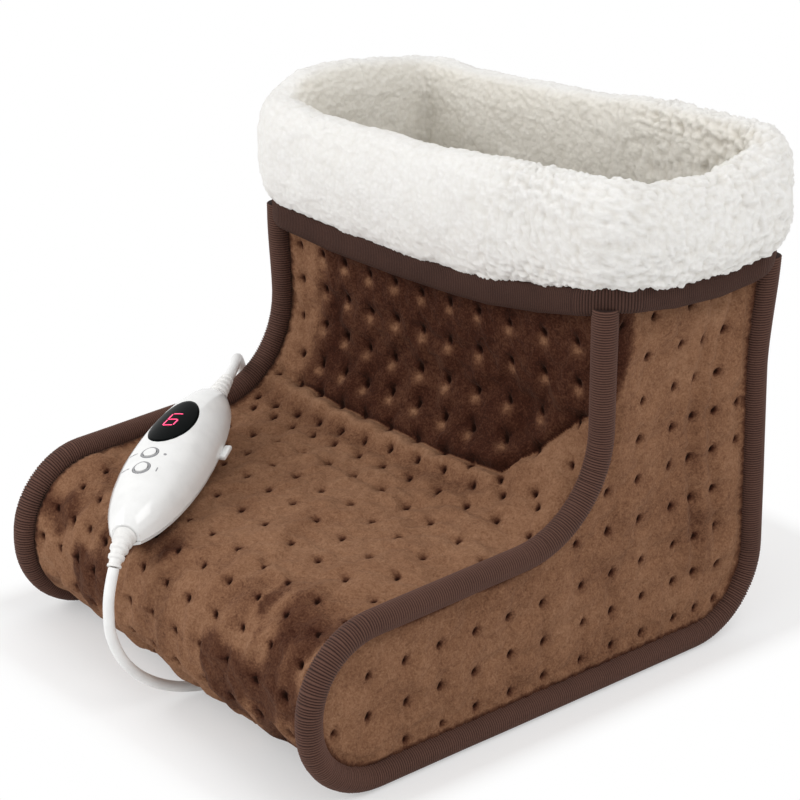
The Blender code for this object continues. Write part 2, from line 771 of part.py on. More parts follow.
def cut_inlet_hole(panel):
    """Cut the inlet bush's hole through a side layer."""
    cutter = cylinder(panel.name + "_hole", INLET_BUSH_RADIUS + GAP, LINER_SIDE_INNER - OVERRUN,
                      SIDE_OUTER + OVERRUN, None, along((0, INLET_Y, INLET_Z), (-1, 0, 0)), 24, CUTTERS)
    finished(boolean(panel, cutter), cutter)


def make_bindings():
    """Ribbed tape welts along both side seams, flat where the boot stands on them."""
    for name, side in (("side_binding_left", -1), ("side_binding_right", 1)):
        x = side * SEAM_HALF_WIDTH
        foot = tape_foot(x)
        line = rounded(front_corners(foot) + back_corners(foot, foot))
        welt = tube(name, [(x, point.x, point.y) for point in line], BINDING_RADIUS, "tape", 3)
        welt = as_mesh(welt, "tape")
        floor = box(name + "_floor", (x - 2 * BINDING_RADIUS, -BOOT_DEPTH, -2 * BINDING_RADIUS),
                    (x + 2 * BINDING_RADIUS, BOOT_DEPTH, 0), None, CUTTERS)
        finished(boolean(welt, floor), floor)


def make_hem():
    """Hem tape round the boot's top edge, and the turned-over cuff that stands on it."""
    low = Vector((-SIDE_OUTER - GAP, SHIN_Y - GAP))
    high = Vector((SIDE_OUTER + GAP, BACK_Y + GAP))
    tape = Vector((HEM_TAPE_THICKNESS,) * 2)
    half = HEM_TAPE_WIDTH / 2
    hem = hem_ring("hem_binding", corner_loop(low - tape, high + tape, HEM_CORNER_RADIUS),
                   corner_loop(low, high, BINDING_RADIUS + GAP), -half, half, "tape")
    round_edges(hem, HEM_EDGE_ROUND, 2)
    reach = tape + Vector((CUFF_OVERHANG,) * 2)
    wall = reach - Vector((CUFF_THICKNESS,) * 2)
    foot = half + GAP
    cuff = hem_ring("cuff", corner_loop(low - reach, high + reach, CUFF_OUTER_CORNER),
                    corner_loop(low - wall, high + wall, CUFF_INNER_CORNER),
                    foot, foot + CUFF_HEIGHT, "fleece")
    round_edges(cuff, CUFF_ROUND, 4)


def make_liner():
    """Pile lining: front and back strips, two sides and the insole."""
    strip("liner_front", lambda x: front_line(panel_top(x)), LINER_INSET, INSIDE_HALF_WIDTH,
          LINER_THICKNESS, "fleece")
    strip("liner_back", lambda x: back_line(panel_top(x), hem_height(x) - HEM_TAPE_WIDTH / 2 - GAP),
          LINER_INSET, INSIDE_HALF_WIDTH, LINER_THICKNESS, "fleece")
    for name, side in (("liner_side_left", -1), ("liner_side_right", 1)):
        edges = sorted((side * LINER_SIDE_INNER, side * LINER_SIDE_OUTER))
        panel = plate(name, side_outline(LINER_INSET, panel_top(edges[0])), *edges, "fleece")
        if side < 0:
            cut_inlet_hole(panel)
    box("liner_sole", (-INSIDE_HALF_WIDTH, SOLE_FRONT + GAP, LINER_SOLE_Z),
        (INSIDE_HALF_WIDTH, SOLE_BACK - GAP, LINER_SOLE_Z + LINER_THICKNESS), "fleece")


def wire_points():
    """Centre line of the heating wire, from one splice through all its runs to the other."""
    level = ELEMENT_Z + WIRE_RADIUS
    turn = RUN_SPACING / 2
    right = INSIDE_HALF_WIDTH - ELEMENT_MARGIN - turn
    left = SPLICE_X + RETURN_SPACE + turn
    points = [(SPLICE_X + SPLICE_LENGTH + GAP, FIRST_RUN_Y, level)]
    for run in range(WIRE_RUNS - 1):
        side = 1 if run % 2 == 0 else -1
        end = right if side > 0 else left
        y = FIRST_RUN_Y - run * RUN_SPACING
        for count in range(ARC_STEPS + 1):
            angle = math.pi * count / ARC_STEPS
            points.append((end + side * turn * math.sin(angle), y - turn * (1 - math.cos(angle)), level))
    corner = turn / 2
    for count in range(ARC_STEPS // 2 + 1):
        angle = math.pi * count / ARC_STEPS
        points.append((SPLICE_X + corner * (1 - math.sin(angle)), LAST_RUN_Y + corner * (1 - math.cos(angle)), level))
    points.append((SPLICE_X, INLET_Y - LEAD_DROP - SPLICE_LENGTH - GAP, level))
    return points


def make_element():
    """Foam, carrier cloth, heating wire, thermal cut-out, sensor, splices and inner leads."""
    low = (-INSIDE_HALF_WIDTH, SOLE_FRONT + GAP)
    high = (INSIDE_HALF_WIDTH, SOLE_BACK - GAP)
    box("sole_foam", (*low, FOAM_Z), (*high, FOAM_Z + FOAM_THICKNESS), "foam")
    box("heater_carrier", (*low, CARRIER_Z), (*high, CARRIER_Z + CARRIER_THICKNESS), "carrier")
    tube("heating_wire", wire_points(), WIRE_RADIUS, "wire_red")

    cutout_y = FIRST_RUN_Y - 3 * RUN_SPACING / 2
    half = (CUTOUT_LENGTH / 2, RUN_SPACING * CUTOUT_WIDTH_SHARE / 2)
    top = ELEMENT_Z + ELEMENT_ROOM * CUTOUT_HEIGHT_SHARE
    box("thermal_cutout", (-half[0], cutout_y - half[1], ELEMENT_Z), (half[0], cutout_y + half[1], top), "sleeve")
    sensor_y = FIRST_RUN_Y - (WIRE_RUNS - 1) * RUN_SPACING / 2
    radius = ELEMENT_ROOM * SENSOR_DIAMETER_SHARE / 2
    cylinder("temperature_sensor", radius, 0, SENSOR_LENGTH, "black_part",
             along((0, sensor_y, ELEMENT_Z + radius), (1, 0, 0)), 16)

    level = ELEMENT_Z + SPLICE_RADIUS
    cylinder("splice_rear", SPLICE_RADIUS, 0, SPLICE_LENGTH, "brass",
             along((SPLICE_X, FIRST_RUN_Y, level), (1, 0, 0)), 16)
    cylinder("splice_front", SPLICE_RADIUS, 0, SPLICE_LENGTH, "brass",
             along((SPLICE_X, INLET_Y - LEAD_DROP, level), (0, -1, 0)), 16)
    level = ELEMENT_Z + LEAD_RADIUS
    tube("inner_lead_rear", [(-INSIDE_HALF_WIDTH, FIRST_RUN_Y, level), (SPLICE_X - GAP, FIRST_RUN_Y, level)],
         LEAD_RADIUS, "wire_red")
    start = INLET_Y - LEAD_OFFSET
    drop = LEAD_DROP - LEAD_OFFSET - GAP
    points = [(-INSIDE_HALF_WIDTH, start, level)]
    for count in range(ARC_STEPS + 1):
        angle = math.pi / 2 * count / ARC_STEPS
        points.append((SPLICE_X - drop * (1 - math.sin(angle)), start - drop * (1 - math.cos(angle)), level))
    tube("inner_lead_front", points, LEAD_RADIUS, "black_part")


def tail_profile(length, root, neck, inside):
    """Outline of a tapered strain relief with ribs, as (radius, distance from its root) points."""
    profile = [(0, length), (TAIL_TIP_RADIUS, length)]
    for rib in range(RELIEF_RIBS, 0, -1):
        for step, deep in RIB_SHARES:
            share = (rib - 1 + step) / RELIEF_RIBS
            radius = root + (TAIL_TIP_RADIUS - root) * share
            profile.append((radius - deep * RIB_DEPTH, length * share))
    profile.append((root, 0))
    if neck < root:
        profile.append((neck, 0))
    return profile + [(neck, -inside), (0, -inside)]


def ribbed_tail(name, length, root, matrix, neck=TAIL_ROOT_RADIUS, inside=TAIL_ROOT_INSIDE, collection=None):
    """Straight strain relief, whose neck reaches inside what holds it."""
    return turned(name, tail_profile(length, root, neck, inside), "white_plastic", matrix, 20, collection)


def bent_frame(matrix, distance):
    """Place on the lower strain relief's bent middle line, at a distance from its root."""
    if distance <= 0:
        return matrix @ Matrix.Translation((0, 0, distance))
    ahead = matrix.to_3x3() @ Vector((0, 0, 1))
    down = (Vector((0, 0, -1)) - ahead * ahead.dot(Vector((0, 0, -1)))).normalized()
    angle = RELIEF_BEND * distance / RELIEF_LENGTH
    radius = RELIEF_LENGTH / RELIEF_BEND
    point = matrix.translation + ahead * radius * math.sin(angle) + down * radius * (1 - math.cos(angle))
    turn = Matrix.Rotation(angle, 4, ahead.cross(down))
    return Matrix.Translation(point) @ turn @ matrix.to_3x3().to_4x4()


def bent_tail(name, matrix, sides=20):
    """Strain relief that bends down with its cord, lofted through round rings."""
    form = bmesh.new()
    rings = []
    profile = tail_profile(RELIEF_LENGTH, RELIEF_ROOT_RADIUS, RELIEF_NECK_RADIUS, RELIEF_INSIDE)
    for radius, distance in profile[1:-1]:
        frame = bent_frame(matrix, distance)
        ring = []
        for count in range(sides):
            angle = 2 * math.pi * count / sides
            ring.append(form.verts.new(frame @ Vector((radius * math.cos(angle), radius * math.sin(angle), 0))))
        rings.append(ring)
    for first, second in zip(rings, rings[1:]):
        for index in range(sides):
            after = (index + 1) % sides
            form.faces.new((first[index], first[after], second[after], second[index]))
    form.faces.new(rings[0])
    form.faces.new(rings[-1][::-1])
    return mesh_object(name, form, "white_plastic")


def make_inlet():
    """Moulded inlet at the left heel: a bush through the wall, a block and a tapered tail."""
    low = (INLET_X - INLET_DEPTH / 2, INLET_Y - INLET_LENGTH / 2, INLET_Z - INLET_HEIGHT / 2)
    high = (INLET_X + INLET_DEPTH / 2, INLET_Y + INLET_LENGTH / 2, INLET_Z + INLET_HEIGHT / 2)
    block = round_edges(box("boot_inlet", low, high, "white_plastic"), INLET_ROUND, 2)
    bush = cylinder("inlet_bush", INLET_BUSH_RADIUS, LINER_SIDE_INNER, -INLET_X, None,
                    along((0, INLET_Y, INLET_Z), (-1, 0, 0)), 24, CUTTERS)
    tail = ribbed_tail("inlet_tail", INLET_TAIL_LENGTH, TAIL_ROOT_RADIUS,
                       along((INLET_X, INLET_Y + INLET_LENGTH / 2, INLET_Z), (0, 1, 0)), collection=CUTTERS)
    finished(boolean(boolean(block, bush, "UNION"), tail, "UNION"), bush, tail)


def control_matrix():
    """Place of the hand control on the boot's toe."""
    place = Matrix.Translation((-CONTROL_SIDE, FRONT_Y + CONTROL_BEHIND_TOE, SEAM_Z + TOE_HEIGHT + CONTROL_LIFT))
    turn = Matrix.Rotation(CONTROL_YAW, 4, "Z")
    turn = turn @ Matrix.Rotation(CONTROL_PITCH, 4, "X")
    return place @ turn @ Matrix.Rotation(CONTROL_ROLL, 4, "Y")


def face_height(side, x, y, wall=0):
    """Height of the hand control's surface: side is 1 for its face and -1 for its base."""
    reach = (CONTROL_UPPER if y > 0 else CONTROL_LOWER) - wall
    left = 1 - (y / reach) ** 2 - (x / (CONTROL_HALF_WIDTH - wall)) ** 2
    rise = (CONTROL_CROWN if side > 0 else CONTROL_BASE) - wall
    fullness = CROWN_FULLNESS_SHARE if side > 0 else BASE_FULLNESS_SHARE
    return side * rise * max(0, left) ** (fullness / 2)


def control_form(name, side, wall=0):
    """Solid of the hand control's form, all of it or the half on one side of the parting line."""
    form = bmesh.new()
    bmesh.ops.create_uvsphere(form, u_segments=CONTROL_SEGMENTS, v_segments=CONTROL_SEGMENTS // 2, radius=1)
    if side:
        everything = form.verts[:] + form.edges[:] + form.faces[:]
        bmesh.ops.bisect_plane(form, geom=everything, dist=WELD, plane_co=(0, 0, 0), plane_no=(0, 0, -side),
                               clear_outer=True)
        bmesh.ops.holes_fill(form, edges=[edge for edge in form.edges if edge.is_boundary])
    for vert in form.verts:
        reach = CONTROL_UPPER if vert.co.y > 0 else CONTROL_LOWER
        up = 1 if vert.co.z > 0 else -1
        rise = (CONTROL_CROWN if up > 0 else CONTROL_BASE) - wall
        fullness = CROWN_FULLNESS_SHARE if up > 0 else BASE_FULLNESS_SHARE
        height = side * GAP / 2
        if abs(vert.co.z) > WELD:
            height = up * rise * abs(vert.co.z) ** fullness
        vert.co = Vector(((CONTROL_HALF_WIDTH - wall) * vert.co.x, (reach - wall) * vert.co.y, height))
    return mesh_object(name, form, "white_plastic", CUTTERS if wall else None, control_matrix())


def control_post(name, x, y, radius, low, high, collection=None, finish=None):
    """Upright cylinder in the hand control's own axes."""
    place = control_matrix() @ Matrix.Translation((x, y, 0))
    return cylinder(name, radius, low, high, finish, place, 20, collection or CUTTERS)


def control_box(name, place, half, low, high, finish):
    """Upright box in the hand control's own axes."""
    corners = [(place[0] + sign * half[0], place[1] + sign * half[1]) for sign in (-1, 1)]
    return box(name, (*corners[0], low), (*corners[1], high), finish, None, control_matrix())


def copy_of(item, name, finish):
    """Copy an object under a new name."""
    return add_object(name, item.data.copy(), finish, None, item.matrix_world)


def end_cutters():
    """Blocks that cut the hand control's two ends square, to seat the strain reliefs."""
    reach = CONTROL_UPPER + CONTROL_LOWER
    place = control_matrix()
    upper = box("upper_cut", (-reach, UPPER_END, -reach), (reach, reach, reach), None, CUTTERS, place)
    lower = box("lower_cut", (-reach, -reach, -reach), (reach, -LOWER_END, reach), None, CUTTERS, place)
    return upper, lower


def make_window_and_buttons(skin):
    """Cut the window, the rings and the buttons out of the face; return the cutters used."""
    place = control_matrix()
    lens = copy_of(skin, "display_lens", "dark_window")
    opening = oval("window_cut", WINDOW_PLACE, WINDOW_HALF, place)
    inner = oval("lens_cut", WINDOW_PLACE, tuple(half - GAP for half in WINDOW_HALF), place)
    finished(boolean(lens, inner, "INTERSECT"), inner)
    cutters = [opening]
    top = 2 * CONTROL_CROWN
    for name, y in zip(("upper", "lower"), BUTTON_PLACES):
        hole = control_post(name + "_hole", BUTTON_X, y, RING_RADIUS + GAP, 0, top)
        rim = control_post(name + "_rim", BUTTON_X, y, RING_RADIUS, 0, top)
        bore = control_post(name + "_bore", BUTTON_X, y, BUTTON_HOLE_RADIUS, -OVERRUN, top + OVERRUN)
        ring = copy_of(skin, "ring_" + name, "grey_ring")
        finished(boolean(boolean(ring, rim, "INTERSECT"), bore), rim, bore)
        core = control_post(name + "_core", BUTTON_X, y, BUTTON_RADIUS, 0, top)
        cap = finished(boolean(copy_of(skin, "button_" + name, "white_plastic"), core, "INTERSECT"), core)
        stem_foot = PLUNGER_TOP + BUTTON_TRAVEL + GAP - BUTTON_PROUD
        stem_top = face_height(1, BUTTON_X, y) - CONTROL_WALL / 2
        stem = control_post(name + "_stem", BUTTON_X, y, BUTTON_STEM_RADIUS, stem_foot, stem_top)
        cap = finished(boolean(cap, stem, "UNION"), stem)
        height = face_height(1, BUTTON_X, y)
        cap.data.transform(Matrix.Translation((-BUTTON_X, -y, -height)))
        cap.matrix_world = place @ Matrix.Translation((BUTTON_X, y, height + BUTTON_PROUD))
        cutters.append(hole)
    return cutters


def make_shells():
    """Two moulded half shells, with what is cut out of the face."""
    cavity = control_form("control_cavity", 0, CONTROL_WALL)
    middle = control_form("control_middle", 0, CONTROL_WALL / 2)
    ends = end_cutters()

    top = boolean(control_form("control_top", 1), cavity)
    top = finished(boolean(boolean(top, ends[0]), ends[1]))
    cutters = make_window_and_buttons(top)
    for name, x in (("left", -SCREW_SIDE), ("right", SCREW_SIDE)):
        post = control_post(name + "_post", x, -SCREW_BACK, BOSS_RADIUS, GAP / 2, 2 * CONTROL_CROWN)
        post = finished(boolean(post, middle, "INTERSECT"))
        hole = control_post(name + "_pilot", x, -SCREW_BACK, SCREW_RADIUS + GAP, -OVERRUN, SCREW_BITE + GAP)
        top = finished(boolean(boolean(top, post, "UNION"), hole), post, hole)
    for cutter in cutters:
        boolean(top, cutter)
    finished(top, *cutters)

    base = boolean(control_form("control_base", -1), cavity)
    base = finished(boolean(boolean(base, ends[0]), ends[1]), cavity, *ends)
    for x, y in stud_places():
        foot = face_height(-1, x, y) + CONTROL_WALL / 2
        stud = control_post("stud", x, y, STUD_RADIUS, foot, BOARD_FOOT - GAP)
        base = finished(boolean(base, stud, "UNION"), stud)
    for name, x in (("left", -SCREW_SIDE), ("right", SCREW_SIDE)):
        boss = control_post(name + "_boss", x, -SCREW_BACK, BOSS_RADIUS, -CONTROL_CROWN, -GAP / 2)
        boss = finished(boolean(boss, middle, "INTERSECT"))
        seat = -CONTROL_BASE + SCREW_HEAD_HEIGHT + CONTROL_WALL
        bore = control_post(name + "_shank", x, -SCREW_BACK, SCREW_RADIUS + GAP, -CONTROL_CROWN, OVERRUN)
        sink = control_post(name + "_sink", x, -SCREW_BACK, SCREW_HEAD_RADIUS + GAP, -CONTROL_CROWN, seat)
        base = finished(boolean(boolean(boolean(base, boss, "UNION"), bore), sink), boss, bore, sink)
        low = seat - GAP - SCREW_HEAD_HEIGHT
        profile = [(0, SCREW_BITE), (SCREW_RADIUS, SCREW_BITE), (SCREW_RADIUS, seat - GAP),
                   (SCREW_HEAD_RADIUS, seat - GAP), (SCREW_HEAD_RADIUS, low), (0, low)]
        turned("control_screw_" + name, profile, "steel",
               control_matrix() @ Matrix.Translation((x, -SCREW_BACK, 0)), 16)
    lug = control_box("lug", (CONTROL_HALF_WIDTH, LUG_FORWARD), (LUG_REACH, LUG_HALF_LENGTH),
                      -GAP / 2 - LUG_THICKNESS, -GAP / 2, None)
    round_edges(lug, LUG_REACH / 2, 2)
    finished(boolean(base, lug, "UNION"), lug, middle)


def stud_places():
    """Where the board stands on its studs."""
    x = BOARD_HALF_WIDTH - STUD_INSET
    return [(side * x, y) for y in (BOARD_UPPER - STUD_INSET, -BOARD_LOWER + STUD_INSET) for side in (-1, 1)]


def make_board():
    """Circuit board and what stands on it."""
    middle = (BOARD_UPPER - BOARD_LOWER) / 2
    half = (BOARD_UPPER + BOARD_LOWER) / 2
    control_box("circuit_board", (0, middle), (BOARD_HALF_WIDTH, half), BOARD_FOOT, BOARD_TOP, "board")
    control_box("display_module", WINDOW_PLACE, DISPLAY_HALF, BOARD_DECK, BOARD_DECK + DISPLAY_HEIGHT, "black_part")
    control_box("power_switch", POWER_SWITCH_PLACE, POWER_SWITCH_HALF, BOARD_DECK,
                BOARD_DECK + POWER_SWITCH_HEIGHT, "black_part")
    control_box("capacitor", CAPACITOR_PLACE, CAPACITOR_HALF, BOARD_DECK, BOARD_DECK + CAPACITOR_HEIGHT,
                "yellow_part")
    for name, y in zip(("upper", "lower"), BUTTON_PLACES):
        body = control_box("tact_switch_" + name, (BUTTON_X, y), (SWITCH_HALF, SWITCH_HALF), BOARD_DECK,
                           BOARD_DECK + SWITCH_HEIGHT, "black_part")
        plunger = control_post("plunger", BUTTON_X, y, PLUNGER_RADIUS, BOARD_DECK + SWITCH_HEIGHT / 2, PLUNGER_TOP)
        finished(boolean(body, plunger, "UNION"), plunger)
    place = control_matrix() @ along((-FUSE_LENGTH / 2, -FUSE_BACK, BOARD_DECK + FUSE_RADIUS), (1, 0, 0))
    cylinder("control_fuse", FUSE_RADIUS, 0, FUSE_LENGTH, "glass_fuse", place, 20)


def relief_matrices():
    """Roots of the hand control's two strain reliefs, each with Z along the cord."""
    place = control_matrix()
    upper = place @ along((0, UPPER_END + GAP, RELIEF_HEIGHT), (0, 1, 0))
    lower = place @ along((0, -LOWER_END - GAP, RELIEF_HEIGHT), (0, -1, 0))
    return upper, lower


def make_control():
    """Hand control: shells, window, buttons, rings, board with its parts, screws and reliefs."""
    make_shells()
    make_board()
    upper, lower = relief_matrices()
    ribbed_tail("relief_upper", RELIEF_LENGTH, RELIEF_ROOT_RADIUS, upper, RELIEF_NECK_RADIUS, RELIEF_INSIDE)
    bent_tail("relief_lower", lower)


def tip_points(matrix, length=0):
    """Two points that lead a cord straight out of a strain relief's tip."""
    tip = matrix @ Vector((0, 0, length + CORD_END_GAP))
    ahead = matrix @ Vector((0, 0, length + CORD_END_GAP + CORD_DIAMETER))
    return [tip, ahead]


def plug_matrix():
    """Place of the plug's rear end: X across it, Y towards its pins and Z up."""
    return Matrix.Translation((*PLUG_PLACE, PLUG_HEIGHT / 2)) @ Matrix.Rotation(PLUG_TURN, 4, "Z")


def make_cords():
    """The boot's lead, the mains lead under the boot, its stored coil and the last stretch to the plug."""
    upper, lower = relief_matrices()
    inlet = along((INLET_X, INLET_Y + INLET_LENGTH / 2, INLET_Z), (0, 1, 0))
    step = CORD_DIAMETER * CORD_STEP_SHARE
    route = tip_points(inlet, INLET_TAIL_LENGTH) + list(BOOT_LEAD_ROUTE) + tip_points(upper, RELIEF_LENGTH)[::-1]
    tube("boot_lead", smooth_route(route, step), CORD_RADIUS, "white_cord")

    reach = COIL_OUTER - CORD_RADIUS
    away = math.sqrt((COIL_OUTER + GAP) ** 2 - (reach - CORD_RADIUS) ** 2)
    level = COIL_Z + CORD_RADIUS
    x, y = COIL_PLACE
    arrival = [(x + reach, y - away - CORD_DIAMETER, level), (x + reach, y - away, level)]
    route = tip_points(bent_frame(lower, RELIEF_LENGTH)) + list(MAINS_LEAD_ROUTE) + arrival
    tube("mains_lead", smooth_route(route, step), CORD_RADIUS, "white_cord")
    tail = plug_matrix() @ along((0, 0, 0), (0, -1, 0))
    departure = [(x - away, y + reach, level), (x - away - CORD_DIAMETER, y + reach, level)]
    tube("plug_lead", smooth_route(departure + tip_points(tail, PLUG_TAIL_LENGTH)[::-1], step), CORD_RADIUS,
         "white_cord")

    low, high = COIL_Z, COIL_Z + COIL_HEIGHT
    profile = corner_loop((COIL_INNER, low), (COIL_OUTER, high), CORD_RADIUS)
    turned("mains_coil", profile[::2], "white_cord", Matrix.Translation((x, y, 0)), 40, None, True)
    inner = math.sqrt(COIL_INNER ** 2 - (TIE_WIDTH / 2) ** 2) - GAP
    sleeve = box("tie_sleeve", (x - TIE_WIDTH, y + inner, low - GAP), (x + TIE_WIDTH, y + COIL_OUTER + GAP, high + GAP),
                 None, CUTTERS)
    tie = box("coil_tie", (x - TIE_WIDTH / 2, y + inner - TIE_THICKNESS, low - GAP - TIE_THICKNESS),
              (x + TIE_WIDTH / 2, y + COIL_OUTER + GAP + TIE_THICKNESS, high + GAP + TIE_THICKNESS), "black_part")
    finished(boolean(tie, sleeve), sleeve)


def make_plug():
    """Two-pin mains plug: body, strain relief and pins."""
    place = plug_matrix()
    right = [Vector((PLUG_WIDTH * across, PLUG_LENGTH * ahead)) for across, ahead in PLUG_OUTLINE_SHARES]
    left = [Vector((-point.x, point.y)) for point in right[::-1]]
    curve = bpy.data.curves.new("plug_body", "CURVE")
    curve.dimensions = "2D"
    curve.fill_mode = "BOTH"
    curve.extrude = PLUG_HEIGHT / 2
    spline = curve.splines.new("POLY")
    spline.points.add(len(right + left) - 1)
    for vertex, point in zip(spline.points, right + left):
        vertex.co = (point.x, point.y, 0, 1)
    spline.use_cyclic_u = True
    body = as_mesh(add_object("plug_body", curve, None, None, place), "white_plastic")
    body = finished(round_edges(body, PLUG_ROUND, 3))
    tail = place @ along((0, 0, 0), (0, -1, 0))
    seat = cylinder("plug_seat", RELIEF_NECK_RADIUS + GAP, -RELIEF_INSIDE - GAP, OVERRUN, None, tail, 20, CUTTERS)
    boolean(body, seat)
    ribbed_tail("plug_relief", PLUG_TAIL_LENGTH, TAIL_ROOT_RADIUS, tail @ Matrix.Translation((0, 0, GAP)),
                RELIEF_NECK_RADIUS, RELIEF_INSIDE)
    cutters = [seat]
    for name, side in (("left", -1), ("right", 1)):
        root = place @ along((side * PIN_SPACING / 2, PLUG_LENGTH, 0), (0, 1, 0))
        hole = cylinder("pin_hole", PIN_RADIUS + GAP, -PIN_INSIDE - GAP, OVERRUN, None, root, 20, CUTTERS)
        boolean(body, hole)
        cutters.append(hole)
        profile = [(0, PIN_LENGTH), (PIN_RADIUS * PIN_TIP_SHARE, PIN_LENGTH),
                   (PIN_RADIUS, PIN_LENGTH - PIN_RADIUS), (PIN_RADIUS, -PIN_INSIDE), (0, -PIN_INSIDE)]
        turned("plug_pin_" + name, profile, "brass", root, 20)
    finished(body, *cutters)


PARTS = None
CUTTERS = None


def main():
    """Build the whole foot warmer."""
    global PARTS, CUTTERS
    clear_scene()
    PARTS = new_collection("foot_warmer")
    CUTTERS = new_collection("cutters")
    make_panels()
    make_bindings()
    make_hem()
    make_liner()
    make_element()
    make_inlet()
    make_control()
    make_cords()
    make_plug()


main()
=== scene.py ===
"""Electric foot warmer: the visual model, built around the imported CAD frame."""

import logging
import math
from dataclasses import dataclass
from enum import Enum
from typing import Any, Callable, Iterable, Optional, Sequence, Union

import bmesh
import bpy
import numpy as np
from mathutils import Matrix, Vector
from mathutils.geometry import delaunay_2d_cdt


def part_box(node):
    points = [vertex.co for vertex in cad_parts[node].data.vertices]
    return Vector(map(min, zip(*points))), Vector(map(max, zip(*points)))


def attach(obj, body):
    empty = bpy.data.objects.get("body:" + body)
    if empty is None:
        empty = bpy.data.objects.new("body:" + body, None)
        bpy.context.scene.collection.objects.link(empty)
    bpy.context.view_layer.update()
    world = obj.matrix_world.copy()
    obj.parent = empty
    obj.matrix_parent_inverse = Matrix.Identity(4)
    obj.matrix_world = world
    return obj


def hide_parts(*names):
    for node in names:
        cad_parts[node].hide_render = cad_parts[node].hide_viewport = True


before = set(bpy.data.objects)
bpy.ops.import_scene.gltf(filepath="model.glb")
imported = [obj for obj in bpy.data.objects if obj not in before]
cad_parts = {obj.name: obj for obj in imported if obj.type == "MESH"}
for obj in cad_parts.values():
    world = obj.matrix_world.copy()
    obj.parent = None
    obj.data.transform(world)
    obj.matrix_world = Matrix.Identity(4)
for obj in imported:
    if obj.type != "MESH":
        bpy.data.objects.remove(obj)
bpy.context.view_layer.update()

LOG = logging.getLogger("foot_warmer")
BODY = "boot"
GAP = 0.0003
Colour = tuple[float, float, float]
Points = np.ndarray
WHITE: Colour = (1.0, 1.0, 1.0)
BLACK: Colour = (0.002, 0.003, 0.003)


# ---------------------------------------------------------------- shader expressions


class Value:
    """One socket of a shader; sums and products of it add Math nodes."""

    def __init__(self, shader: "Shader", socket: Any) -> None:
        """Wrap a socket of a shader."""
        self.shader = shader
        self.socket = socket

    def math(self, operation: str, *others: Any) -> "Value":
        """Add a Math node with this value first.

        Args:
            operation: the node's operation.
            others: values or numbers for its other inputs.

        Returns:
            The node's result.
        """
        inputs = dict(enumerate((self, *others)))
        return self.shader.node("ShaderNodeMath", {"operation": operation}, inputs)

    def reverse(self, operation: str, other: Any) -> "Value":
        """Add a Math node with this value second."""
        inputs = {0: other, 1: self}
        return self.shader.node("ShaderNodeMath", {"operation": operation}, inputs)

    def __add__(self, other: Any) -> "Value":
        """Sum."""
        return self.math("ADD", other)

    def __radd__(self, other: Any) -> "Value":
        """Sum, with the number first."""
        return self.reverse("ADD", other)

    def __sub__(self, other: Any) -> "Value":
        """Difference."""
        return self.math("SUBTRACT", other)

    def __rsub__(self, other: Any) -> "Value":
        """Difference, with the number first."""
        return self.reverse("SUBTRACT", other)

    def __mul__(self, other: Any) -> "Value":
        """Product."""
        return self.math("MULTIPLY", other)

    def clamped(self) -> "Value":
        """Value kept from 0 to 1."""
        return self.shader.node("ShaderNodeClamp", {}, {0: self})

    def ramp(self, low: float, high: float) -> "Value":
        """Value moved from the range low to high into 0 to 1, with soft ends."""
        settings = {"interpolation_type": "SMOOTHSTEP"}
        return self.shader.node("ShaderNodeMapRange", settings, {0: self, 1: low, 2: high})


